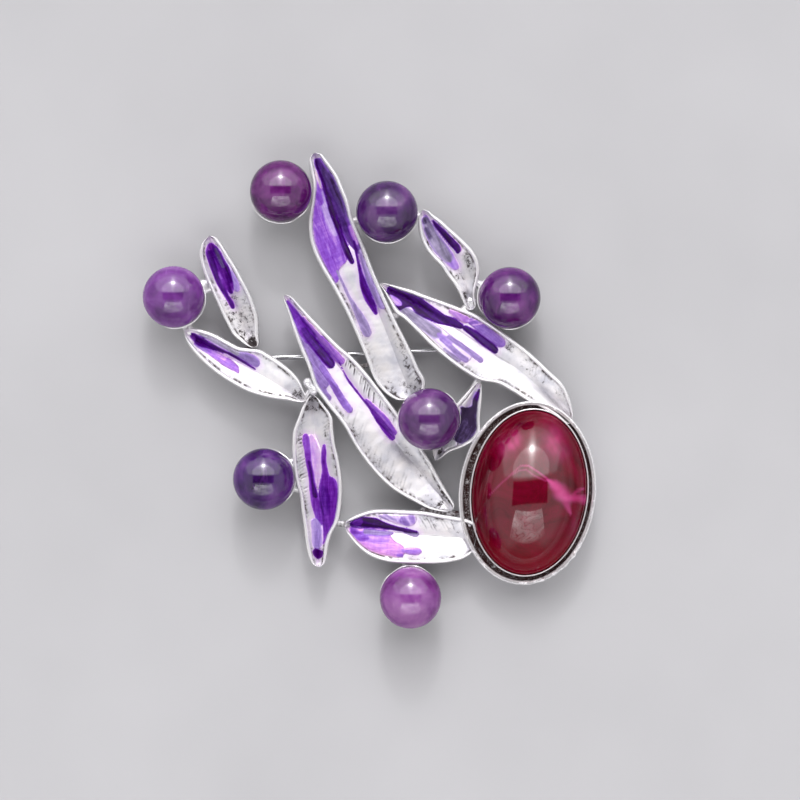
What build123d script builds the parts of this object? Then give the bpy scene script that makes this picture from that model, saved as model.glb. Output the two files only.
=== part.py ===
from build123d import *
import math
import os

# A leaf brooch lying face up: z = 0 is the surface it lies on, +X is to the right and +Y to the top as it is worn.
# Nine folded leaves, seven bead cups and an oval bezel are cast and soldered into one piece of metal.
# Lengths are millimetres, and a leaf's sections are shares of its length and width.

# Leaves
RIM_WIDTH = 0.42
RIM_STEP = 0.34
EDGE_DEPTH = 1.10
FOLD_DEPTH = 0.80
FLOOR_THICKNESS = 0.70
RIM_INSET = 0.12
STEP_RUN = 0.08
FULL_FOLD_HALF_WIDTH = 1.6

# Enamel in the leaf floors
ENAMEL_GAP = 0.04
ENAMEL_THICKNESS = 0.20
ENAMEL_MARGIN = 0.10

# Beads and their cups
BEAD_RADIUS = 4.0
BEAD_GAP = 0.06
CUP_WALL = 0.35
CUP_RIM_DROP = 1.2
BEAD_HEIGHT = 5.5
TAB_RADIUS = 0.50
TAB_HEIGHT = 3.20

# Bezel and its stone, an oval turned a little clockwise
BEZEL_X = 20.45
BEZEL_Y = -13.10
BEZEL_TURN = -6.0
BEZEL_HALF_WIDTH = 8.85
BEZEL_HALF_LENGTH = 11.90
BEZEL_HEIGHT = 4.5
BEZEL_DRAFT = 0.5
BEZEL_LIP = 0.65
LEDGE_WIDTH = 0.55
SEAT_SHIFT_X = 0.15
SEAT_SHIFT_Y = 0.10
LEDGE_DROP = 0.45
SEAT_HEIGHT = 1.6
STONE_GAP = 0.05
STONE_GIRDLE_TOP = 4.2
STONE_DOME = 6.0

# Hinge, pin and catch on the back
PIN_HEIGHT = 1.4
PIN_TURN = 2.65
HINGE_X = -16.65
HINGE_Y = 4.19
LUG_RADIUS = 1.4
LUG_THICKNESS = 0.7
LUG_TOP = 3.1
RIVET_RADIUS = 0.45
RIVET_CLEARANCE = 0.07
EYE_RADIUS = 0.95
EYE_WIDTH = 0.9
EYE_SIDE_GAP = 0.1
PIN_ROOT_RADIUS = 0.45
PIN_ROOT_END = 3.0
PIN_RADIUS = 0.35
PIN_STRAIGHT_END = 14.0
PIN_TAPER_END = 29.5
PIN_TAPER_RADIUS = 0.26
PIN_LENGTH = 32.4
PIN_POINT_RADIUS = 0.06
CATCH_ALONG = 30.4
CATCH_RADIUS = 1.47
CATCH_BORE = 0.85
CATCH_MOUTH = 0.9
CATCH_LENGTH = 2.4
CATCH_TOP = 3.0

# name: base x, base y, tip x, tip y, width, height of the rim at the base, at the tip, arch between
LEAVES = {
    "top": (5.68, -0.84, -6.71, 30.77, 6.45, 4.5, 4.3, 0.3),
    "centre": (11.10, -15.03, -10.84, 12.32, 8.00, 4.2, 4.5, 0.3),
    "left_upper": (-15.10, 5.87, -20.45, 20.19, 4.39, 4.0, 4.3, 0.2),
    "left_lower": (-8.13, -1.23, -23.87, 7.81, 5.16, 4.5, 4.2, 0.2),
    "bottom_left": (-7.35, -1.10, -6.58, -22.90, 6.45, 4.0, 4.3, 0.3),
    "bottom": (13.29, -19.16, -3.16, -17.23, 7.23, 4.3, 4.2, 0.2),
    "right": (25.94, -4.19, 1.55, 14.13, 7.23, 4.3, 4.2, 0.3),
    "right_small": (13.03, 11.03, 7.10, 23.55, 4.90, 4.1, 4.3, 0.2),
    "small": (8.65, -8.97, 14.45, 1.23, 4.39, 4.0, 4.1, 0.1),
}

# Sections from base to tip: along the leaf as a share of its length, then the left edge, the right edge and
# the fold as shares of its width, left and right as seen when looking from the base to the tip
SECTIONS = {
    "top": [
        (0.00, 0.25, -0.20, 0.00),
        (0.03, 0.40, -0.33, 0.00),
        (0.10, 0.57, -0.33, 0.02),
        (0.20, 0.59, -0.30, 0.02),
        (0.30, 0.60, -0.25, 0.02),
        (0.40, 0.63, -0.22, 0.02),
        (0.50, 0.69, -0.20, 0.00),
        (0.60, 0.77, -0.21, 0.00),
        (0.66, 0.79, -0.21, 0.04),
        (0.72, 0.75, -0.20, 0.06),
        (0.78, 0.64, -0.22, 0.07),
        (0.84, 0.46, -0.22, 0.08),
        (0.90, 0.33, -0.17, 0.10),
        (0.95, 0.24, -0.11, 0.08),
        (0.985, 0.17, -0.05, 0.06),
        (1.00, 0.10, 0.01, 0.06),
    ],
    "centre": [
        (0.00, 0.13, -0.03, 0.06),
        (0.05, 0.27, -0.06, 0.06),
        (0.12, 0.42, -0.11, 0.08),
        (0.20, 0.55, -0.17, 0.08),
        (0.30, 0.64, -0.22, 0.08),
        (0.40, 0.62, -0.24, 0.08),
        (0.50, 0.56, -0.25, 0.07),
        (0.60, 0.57, -0.25, 0.06),
        (0.67, 0.55, -0.22, 0.04),
        (0.74, 0.44, -0.16, 0.03),
        (0.82, 0.34, -0.12, 0.03),
        (0.90, 0.22, -0.09, 0.03),
        (0.96, 0.10, -0.06, 0.01),
        (1.00, 0.03, -0.03, 0.00),
    ],
    "left_upper": [
        (-0.02, 0.05, -0.20, -0.08),
        (0.06, 0.20, -0.26, -0.04),
        (0.14, 0.37, -0.36, 0.00),
        (0.22, 0.43, -0.45, 0.02),
        (0.32, 0.47, -0.49, 0.05),
        (0.44, 0.51, -0.48, 0.08),
        (0.56, 0.54, -0.43, 0.10),
        (0.68, 0.56, -0.34, 0.12),
        (0.78, 0.54, -0.26, 0.13),
        (0.86, 0.49, -0.20, 0.12),
        (0.92, 0.40, -0.15, 0.10),
        (0.97, 0.24, -0.09, 0.07),
        (1.00, 0.10, -0.02, 0.05),
    ],
    "left_lower": [
        (0.00, 0.04, -0.06, 0.00),
        (0.05, 0.14, -0.20, 0.00),
        (0.12, 0.23, -0.38, 0.00),
        (0.20, 0.33, -0.48, 0.00),
        (0.30, 0.43, -0.53, 0.00),
        (0.40, 0.50, -0.55, 0.00),
        (0.47, 0.51, -0.54, 0.00),
        (0.53, 0.51, -0.45, 0.00),
        (0.60, 0.50, -0.35, 0.00),
        (0.70, 0.46, -0.33, 0.02),
        (0.80, 0.39, -0.32, 0.04),
        (0.88, 0.30, -0.27, 0.03),
        (0.95, 0.18, -0.19, 0.00),
        (1.00, 0.05, -0.06, 0.00),
    ],
    "bottom_left": [
        (-0.03, 0.07, -0.05, 0.00),
        (0.03, 0.24, -0.20, 0.00),
        (0.10, 0.39, -0.30, 0.02),
        (0.18, 0.41, -0.41, 0.02),
        (0.27, 0.44, -0.44, 0.02),
        (0.36, 0.50, -0.44, 0.02),
        (0.46, 0.54, -0.41, 0.02),
        (0.56, 0.54, -0.33, 0.03),
        (0.65, 0.50, -0.30, 0.04),
        (0.73, 0.43, -0.27, 0.04),
        (0.80, 0.30, -0.25, 0.03),
        (0.87, 0.21, -0.21, 0.01),
        (0.93, 0.16, -0.15, 0.00),
        (0.97, 0.11, -0.08, 0.00),
        (0.99, 0.06, -0.02, 0.02),
    ],
    "bottom": [
        (-0.03, 0.22, -0.30, 0.00),
        (0.05, 0.36, -0.36, 0.00),
        (0.14, 0.44, -0.38, 0.00),
        (0.25, 0.50, -0.39, 0.00),
        (0.37, 0.53, -0.41, 0.01),
        (0.50, 0.54, -0.40, 0.02),
        (0.62, 0.54, -0.38, 0.02),
        (0.72, 0.51, -0.36, 0.01),
        (0.81, 0.45, -0.32, 0.00),
        (0.89, 0.33, -0.24, 0.00),
        (0.95, 0.21, -0.16, 0.00),
        (0.985, 0.11, -0.09, 0.00),
        (1.00, 0.04, -0.04, 0.00),
    ],
    "right": [
        (0.00, 0.05, -0.12, -0.04),
        (0.05, 0.05, -0.29, -0.10),
        (0.12, 0.07, -0.46, -0.16),
        (0.20, 0.13, -0.54, -0.20),
        (0.28, 0.16, -0.58, -0.22),
        (0.35, 0.21, -0.60, -0.22),
        (0.41, 0.33, -0.60, -0.20),
        (0.50, 0.38, -0.60, -0.18),
        (0.60, 0.38, -0.56, -0.16),
        (0.68, 0.35, -0.47, -0.13),
        (0.76, 0.29, -0.37, -0.09),
        (0.84, 0.25, -0.28, -0.06),
        (0.91, 0.22, -0.17, -0.02),
        (0.97, 0.12, -0.06, 0.02),
        (1.00, 0.06, 0.00, 0.03),
    ],
    "right_small": [
        (-0.04, 0.10, -0.16, -0.04),
        (0.08, 0.12, -0.26, -0.08),
        (0.17, 0.12, -0.46, -0.14),
        (0.26, 0.15, -0.62, -0.18),
        (0.36, 0.21, -0.69, -0.20),
        (0.46, 0.25, -0.67, -0.20),
        (0.56, 0.33, -0.58, -0.16),
        (0.66, 0.39, -0.47, -0.10),
        (0.76, 0.39, -0.35, -0.04),
        (0.85, 0.34, -0.25, 0.02),
        (0.92, 0.24, -0.16, 0.04),
        (0.97, 0.15, -0.09, 0.04),
        (1.00, 0.09, 0.00, 0.05),
    ],
    "small": [
        (0.00, 0.06, -0.02, 0.02),
        (0.06, 0.22, -0.10, 0.02),
        (0.15, 0.34, -0.22, 0.02),
        (0.28, 0.40, -0.44, 0.00),
        (0.40, 0.42, -0.62, -0.04),
        (0.52, 0.38, -0.64, -0.06),
        (0.62, 0.34, -0.52, -0.06),
        (0.72, 0.29, -0.41, -0.04),
        (0.82, 0.23, -0.31, -0.02),
        (0.90, 0.18, -0.20, 0.00),
        (0.96, 0.13, -0.10, 0.02),
        (1.00, 0.08, -0.03, 0.02),
    ],
}

# leaf: the stretch of its length that its enamel covers, and the share of the left and the right floor it fills
ENAMELS = {
    "top": (0.20, 0.95, 1.00, 0.95),
    "centre": (0.40, 0.90, 1.00, 0.95),
    "left_upper": (0.32, 0.92, 0.90, 1.00),
    "left_lower": (0.40, 0.95, 0.95, 1.00),
    "bottom_left": (0.18, 0.97, 1.00, 0.95),
    "bottom": (0.37, 0.985, 0.95, 0.85),
    "right": (0.41, 0.91, 0.95, 1.00),
    "right_small": (0.36, 0.97, 1.00, 0.85),
    "small": (0.28, 0.90, 0.20, 1.00),
}

# bead: x, y, height of its centre above the usual
BEADS = {
    "bead_1": (-11.35, 25.81, 0.0),
    "bead_2": (2.32, 23.16, 0.0),
    "bead_3": (-25.16, 12.19, 0.0),
    "bead_4": (18.13, 12.06, 0.0),
    "bead_5": (7.74, -3.55, 1.1),
    "bead_6": (-13.55, -11.29, 0.0),
    "bead_7": (5.35, -26.58, 0.0),
}

# bead, then the place inside a leaf that its solder tab reaches
TABS = [
    ("bead_1", -6.10, 26.00),
    ("bead_2", -2.40, 21.90),
    ("bead_2", 7.10, 22.60),
    ("bead_3", -20.30, 13.90),
    ("bead_3", -23.30, 7.80),
    ("bead_4", 13.30, 14.30),
    ("bead_4", 16.10, 7.70),
    ("bead_6", -9.10, -8.60),
    ("bead_6", -8.60, -12.80),
    ("bead_7", 5.30, -21.60),
]

# x and y of each end, radius and height: solder joints between neighbouring leaves and the bezel
JOINTS = [
    (-8.60, 0.60, -7.00, 1.00, 0.80, 3.60),
    (-4.60, -16.90, -2.95, -17.20, 0.50, 3.55),
    (9.70, -14.60, 12.20, -16.20, 0.80, 3.50),
    (13.60, -5.50, 14.90, -6.20, 0.60, 3.20),
    (13.60, 0.40, 14.50, 2.20, 0.60, 3.30),
    (-15.50, 5.40, -14.90, 6.90, 0.70, 3.10),
    (-1.90, 3.60, 0.60, 4.30, 0.60, 3.20),
    (12.30, 10.30, 13.20, 11.60, 0.60, 3.30),
    (1.80, 12.90, 3.20, 12.50, 0.60, 3.10),
    (-7.20, -2.60, -5.40, -1.80, 0.70, 3.10),
]


def faceted_solid(rings):
    """A closed solid through rings of points, each ring as long as the next, with a flat fan at either end."""
    faces = []
    count = len(rings[0])
    for near, far in zip(rings, rings[1:]):
        for k in range(count):
            after = (k + 1) % count
            faces.append((near[k], near[after], far[k]))
            faces.append((near[after], far[after], far[k]))
    for ring, turned in ((rings[0], True), (rings[-1], False)):
        middle = tuple(sum(p[axis] for p in ring) / count for axis in range(3))
        for k in range(count):
            pair = (ring[k], ring[(k + 1) % count])
            faces.append((middle, *(pair[::-1] if turned else pair)))
    shell = Shell([Face(Wire.make_polygon([Vector(*p) for p in face])) for face in faces])
    solid = Solid(shell)
    return solid if solid.volume > 0 else Solid(shell.reversed())


def beside_bezel(x, y):
    """Whether a place lies inside the bezel's wall or within the enamel's margin of it."""
    turn = math.radians(BEZEL_TURN)
    aside = (x - BEZEL_X) * math.cos(turn) + (y - BEZEL_Y) * math.sin(turn)
    above = (y - BEZEL_Y) * math.cos(turn) - (x - BEZEL_X) * math.sin(turn)
    wide, long = BEZEL_HALF_WIDTH + ENAMEL_MARGIN, BEZEL_HALF_LENGTH + ENAMEL_MARGIN
    return math.hypot(aside / wide, above / long) < 1


class Leaf:
    """A folded leaf: places on it are given along its length, and in millimetres to the left of its midline."""

    def __init__(self, name):
        base_x, base_y, tip_x, tip_y, self.width, self.base_rim, self.tip_rim, self.arch = LEAVES[name]
        self.rows = SECTIONS[name]
        self.base = (base_x, base_y)
        self.run = (tip_x - base_x, tip_y - base_y)
        length = math.hypot(*self.run)
        self.left = (-self.run[1] / length, self.run[0] / length)

    def place(self, along, across, height):
        x = self.base[0] + along * self.run[0] + across * self.left[0]
        y = self.base[1] + along * self.run[1] + across * self.left[1]
        return (x, y, height)

    def rim_height(self, along):
        level = self.base_rim + (self.tip_rim - self.base_rim) * along
        return level + self.arch * 4 * along * (1 - along)

    def floor(self, row, at_end):
        """The across places and heights of a section's rims, floors and fold."""
        along, left, right, fold = row
        left, right, fold = left * self.width, right * self.width, fold * self.width
        half = min(left - fold, fold - right)
        inset = min(RIM_INSET, 0.15 * half)
        rim = min(RIM_WIDTH, 0.35 * half)
        step = min(STEP_RUN, 0.1 * half)
        top = self.rim_height(along)
        floor = top if at_end else top - RIM_STEP * min(1, half / 0.8)
        deep = floor if at_end else floor - FOLD_DEPTH * min(1, half / FULL_FOLD_HALF_WIDTH)
        left_rim = (left - inset, left - inset - rim, left - inset - rim - step)
        right_rim = (right + inset, right + inset + rim, right + inset + rim + step)
        return left_rim, right_rim, fold, top, floor, deep

    def ring(self, row, at_end):
        along, left, right, _ = row
        left_rim, right_rim, fold, top, floor, deep = self.floor(row, at_end)
        bottom = top - EDGE_DEPTH
        under_fold = min(deep - FLOOR_THICKNESS, bottom)
        across = [
            (left * self.width, bottom),
            (left_rim[0], top),
            (left_rim[1], top),
            (left_rim[2], floor),
            (fold, deep),
            (right_rim[2], floor),
            (right_rim[1], top),
            (right_rim[0], top),
            (right * self.width, bottom),
            (fold, under_fold),
        ]
        return [self.place(along, *point) for point in across]

    def solid(self):
        last = len(self.rows) - 1
        return faceted_solid([self.ring(row, k in (0, last)) for k, row in enumerate(self.rows)])

    def clear_run(self, along, fold, run):
        """How far the enamel reaches aside from the fold: it ends short of the bezel."""
        shares = [run * k / 20 for k in range(20, 0, -1)]
        return next((s for s in shares if not beside_bezel(*self.place(along, fold + s, 0)[:2])), shares[-1])

    def enamel(self, start, end, left_fill, right_fill):
        """A thin sheet that follows the floor and its fold, a hair above them."""
        rings = []
        for row in [row for row in self.rows if start <= row[0] <= end]:
            left_rim, right_rim, fold, _, floor, deep = self.floor(row, False)
            left_run = self.clear_run(row[0], fold, (left_rim[2] - ENAMEL_MARGIN - fold) * left_fill)
            right_run = -self.clear_run(row[0], fold, (right_rim[2] + ENAMEL_MARGIN - fold) * right_fill)
            left_rise = (floor - deep) * left_run / (left_rim[2] - fold)
            right_rise = (floor - deep) * right_run / (fold - right_rim[2])
            low = deep + ENAMEL_GAP
            high = low + ENAMEL_THICKNESS
            across = [
                (fold + left_run, low + left_rise),
                (fold, low),
                (fold - right_run, low + right_rise),
                (fold - right_run, high + right_rise),
                (fold, high),
                (fold + left_run, high + left_rise),
            ]
            rings.append([self.place(row[0], *point) for point in across])
        return faceted_solid(rings)


def rod(start, end, radius, end_radius=None):
    """A round bar, or a cone, from one point to another."""
    axis = Vector(*end) - Vector(*start)
    plane = Plane(origin=start, z_dir=axis)
    if end_radius is None:
        return Solid.make_cylinder(radius, axis.length, plane)
    return Solid.make_cone(radius, end_radius, axis.length, plane)


def bead_centre(name):
    x, y, raised = BEADS[name]
    return (x, y, BEAD_HEIGHT + raised)


def cup(name):
    """The lower part of a ball, which the bead's pocket hollows out."""
    x, y, z = bead_centre(name)
    radius = BEAD_RADIUS + BEAD_GAP + CUP_WALL
    ball = Pos(x, y, z) * Sphere(radius)
    above = Pos(x, y, z - CUP_RIM_DROP + 2 * radius) * Box(4 * radius, 4 * radius, 4 * radius)
    return (ball - above).solid()


def bead_pocket(name):
    return Solid.make_sphere(BEAD_RADIUS + BEAD_GAP, Plane(bead_centre(name)))


def oval(shrink, height, at_seat=False):
    """The bezel's oval, narrower all round by shrink, at a height; the stone's seat lies a little off its middle."""
    x = BEZEL_X + (SEAT_SHIFT_X if at_seat else 0)
    y = BEZEL_Y + (SEAT_SHIFT_Y if at_seat else 0)
    place = Pos(x, y, height) * Rot(0, 0, BEZEL_TURN)
    return place * Ellipse(BEZEL_HALF_WIDTH - shrink, BEZEL_HALF_LENGTH - shrink)


def bezel():
    wall = loft([oval(BEZEL_DRAFT, 0), oval(0, BEZEL_HEIGHT)])
    return wall.solid()


def bezel_pockets():
    """The space above the ledge, and the stone's own seat below it."""
    ledge = BEZEL_HEIGHT - LEDGE_DROP
    mouth = extrude(oval(BEZEL_LIP, ledge), BEZEL_HEIGHT)
    seat = extrude(oval(BEZEL_LIP + LEDGE_WIDTH, SEAT_HEIGHT, True), BEZEL_HEIGHT)
    return [mouth.solid(), seat.solid()]


def cabochon():
    shrink = BEZEL_LIP + LEDGE_WIDTH + STONE_GAP
    foot = SEAT_HEIGHT + STONE_GAP
    girdle = extrude(oval(shrink, foot, True), STONE_GIRDLE_TOP - foot)
    size = (BEZEL_HALF_WIDTH - shrink, BEZEL_HALF_LENGTH - shrink, STONE_DOME)
    ball = scale(Sphere(1), by=size)
    cover = 4 * BEZEL_HALF_LENGTH
    upper = ball & Pos(0, 0, cover / 2) * Box(cover, cover, cover)
    place = Pos(BEZEL_X + SEAT_SHIFT_X, BEZEL_Y + SEAT_SHIFT_Y, STONE_GIRDLE_TOP)
    dome = place * Rot(0, 0, BEZEL_TURN) * upper
    return (girdle + dome).solid()


def pin_place(along, aside, height):
    """A place measured along the closed pin from its hinge, to its left, and above the surface."""
    turn = math.radians(PIN_TURN)
    x = HINGE_X + along * math.cos(turn) - aside * math.sin(turn)
    y = HINGE_Y + along * math.sin(turn) + aside * math.cos(turn)
    return (x, y, height)


def pin_box(along, aside, bottom, top, length, width):
    place = Pos(*pin_place(along, aside, (bottom + top) / 2)) * Rot(0, 0, PIN_TURN)
    return (place * Box(length, width, top - bottom)).solid()


def hinge_lugs():
    inner = EYE_WIDTH / 2 + EYE_SIDE_GAP
    outer = inner + LUG_THICKNESS
    pieces = []
    for side in (1, -1):
        ends = (pin_place(0, side * inner, PIN_HEIGHT), pin_place(0, side * outer, PIN_HEIGHT))
        pieces.append(rod(*ends, LUG_RADIUS))
        middle = side * (inner + outer) / 2
        pieces.append(pin_box(0, middle, PIN_HEIGHT, LUG_TOP, 2 * LUG_RADIUS, LUG_THICKNESS))
    rivet_ends = (pin_place(0, outer, PIN_HEIGHT), pin_place(0, -outer, PIN_HEIGHT))
    pieces.append(rod(*rivet_ends, RIVET_RADIUS))
    return pieces


def catch():
    """A hook bent from strip, round the closed pin and open towards the surface."""
    near = pin_place(CATCH_ALONG - CATCH_LENGTH / 2, 0, PIN_HEIGHT)
    far = pin_place(CATCH_ALONG + CATCH_LENGTH / 2, 0, PIN_HEIGHT)
    hook = rod(near, far, CATCH_RADIUS) - rod(near, far, CATCH_BORE)
    mouth = pin_box(CATCH_ALONG, 0, PIN_HEIGHT - 2 * CATCH_RADIUS, PIN_HEIGHT, CATCH_LENGTH, CATCH_MOUTH)
    wall = (CATCH_RADIUS - CATCH_BORE) / 2
    post = pin_box(CATCH_ALONG, 0, PIN_HEIGHT + CATCH_BORE + wall, CATCH_TOP, CATCH_LENGTH, CATCH_RADIUS)
    return (hook - mouth + post).solid()


def pin_stem():
    side = EYE_WIDTH / 2
    ends = (pin_place(0, side, PIN_HEIGHT), pin_place(0, -side, PIN_HEIGHT))
    hole = rod(*ends, RIVET_RADIUS + RIVET_CLEARANCE)
    stations = [
        (0, PIN_ROOT_RADIUS),
        (PIN_ROOT_END, PIN_RADIUS),
        (PIN_STRAIGHT_END, PIN_RADIUS),
        (PIN_TAPER_END, PIN_TAPER_RADIUS),
        (PIN_LENGTH, PIN_POINT_RADIUS),
    ]
    stem = rod(*ends, EYE_RADIUS)
    for (start, radius), (end, end_radius) in zip(stations, stations[1:]):
        narrower = None if end_radius == radius else end_radius
        stem += rod(pin_place(start, 0, PIN_HEIGHT), pin_place(end, 0, PIN_HEIGHT), radius, narrower)
    return (stem - hole).solid()


def leaf_frame(leaves):
    pieces = [leaf.solid() for leaf in leaves.values()]
    pieces += [cup(name) for name in BEADS]
    for name, x, y in TABS:
        bead_x, bead_y, _ = bead_centre(name)
        pieces.append(rod((bead_x, bead_y, TAB_HEIGHT), (x, y, TAB_HEIGHT), TAB_RADIUS))
    for x, y, end_x, end_y, radius, height in JOINTS:
        pieces.append(rod((x, y, height), (end_x, end_y, height), radius))
    pieces.append(bezel())
    pieces += hinge_lugs()
    pieces.append(catch())
    metal = pieces[0].fuse(*pieces[1:])
    metal = metal.cut(*[bead_pocket(name) for name in BEADS], *bezel_pockets())
    return metal


def build():
    leaves = {name: Leaf(name) for name in LEAVES}
    parts = {"leaf_frame": leaf_frame(leaves)}
    for name, row in ENAMELS.items():
        parts["enamel_" + name] = leaves[name].enamel(*row)
    for name in BEADS:
        parts[name] = Solid.make_sphere(BEAD_RADIUS, Plane(bead_centre(name)))
    parts["cabochon"] = cabochon()
    parts["pin_stem"] = pin_stem()
    return parts


if __name__ == "__main__":
    parts = build()
    os.makedirs("parts", exist_ok=True)
    box = Compound(list(parts.values())).bounding_box()
    middle = box.center()
    for name, shape in parts.items():
        export_step(Pos(-middle.X, -middle.Y, 0) * shape, f"parts/{name}.step")
    print("moved by", -middle.X, -middle.Y, "size", box.size, "lowest", box.min.Z)
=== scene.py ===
import math

import bmesh
import bpy
import numpy as np
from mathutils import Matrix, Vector


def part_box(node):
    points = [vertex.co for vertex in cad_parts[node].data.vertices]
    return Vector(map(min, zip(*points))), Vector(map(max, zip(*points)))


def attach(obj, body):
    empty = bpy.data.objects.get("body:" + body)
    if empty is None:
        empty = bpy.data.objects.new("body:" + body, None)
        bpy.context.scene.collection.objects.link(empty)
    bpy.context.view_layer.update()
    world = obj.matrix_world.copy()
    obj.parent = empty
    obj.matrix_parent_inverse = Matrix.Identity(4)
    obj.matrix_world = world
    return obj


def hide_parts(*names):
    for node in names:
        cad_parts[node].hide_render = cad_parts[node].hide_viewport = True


# A leaf brooch seen from straight above: nine silver leaves with poured enamel, seven amethyst beads in cups
# and a crimson cabochon in an oval bezel. Places and lengths are millimetres in the drawing's own axes;
# place_all() turns them into the frame's metres.

MM = 0.001

# name: base x, base y, tip x, tip y, width, rim height at the base, at the tip, arch between
LEAVES = {
    "top": (5.68, -0.84, -6.71, 30.77, 6.45, 4.5, 4.3, 0.3),
    "centre": (11.10, -15.03, -10.84, 12.32, 8.00, 4.2, 4.5, 0.3),
    "left_upper": (-15.10, 5.87, -20.45, 20.19, 4.39, 4.0, 4.3, 0.2),
    "left_lower": (-8.13, -1.23, -23.87, 7.81, 5.16, 4.5, 4.2, 0.2),
    "bottom_left": (-7.35, -1.10, -6.58, -22.90, 6.45, 4.0, 4.3, 0.3),
    "bottom": (13.29, -19.16, -3.16, -17.23, 7.23, 4.3, 4.2, 0.2),
    "right": (25.94, -4.19, 1.55, 14.13, 7.23, 4.3, 4.2, 0.3),
    "right_small": (13.03, 11.03, 7.10, 23.55, 4.90, 4.1, 4.3, 0.2),
    "small": (8.65, -8.97, 14.45, 1.23, 4.39, 4.0, 4.1, 0.1),
}

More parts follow.
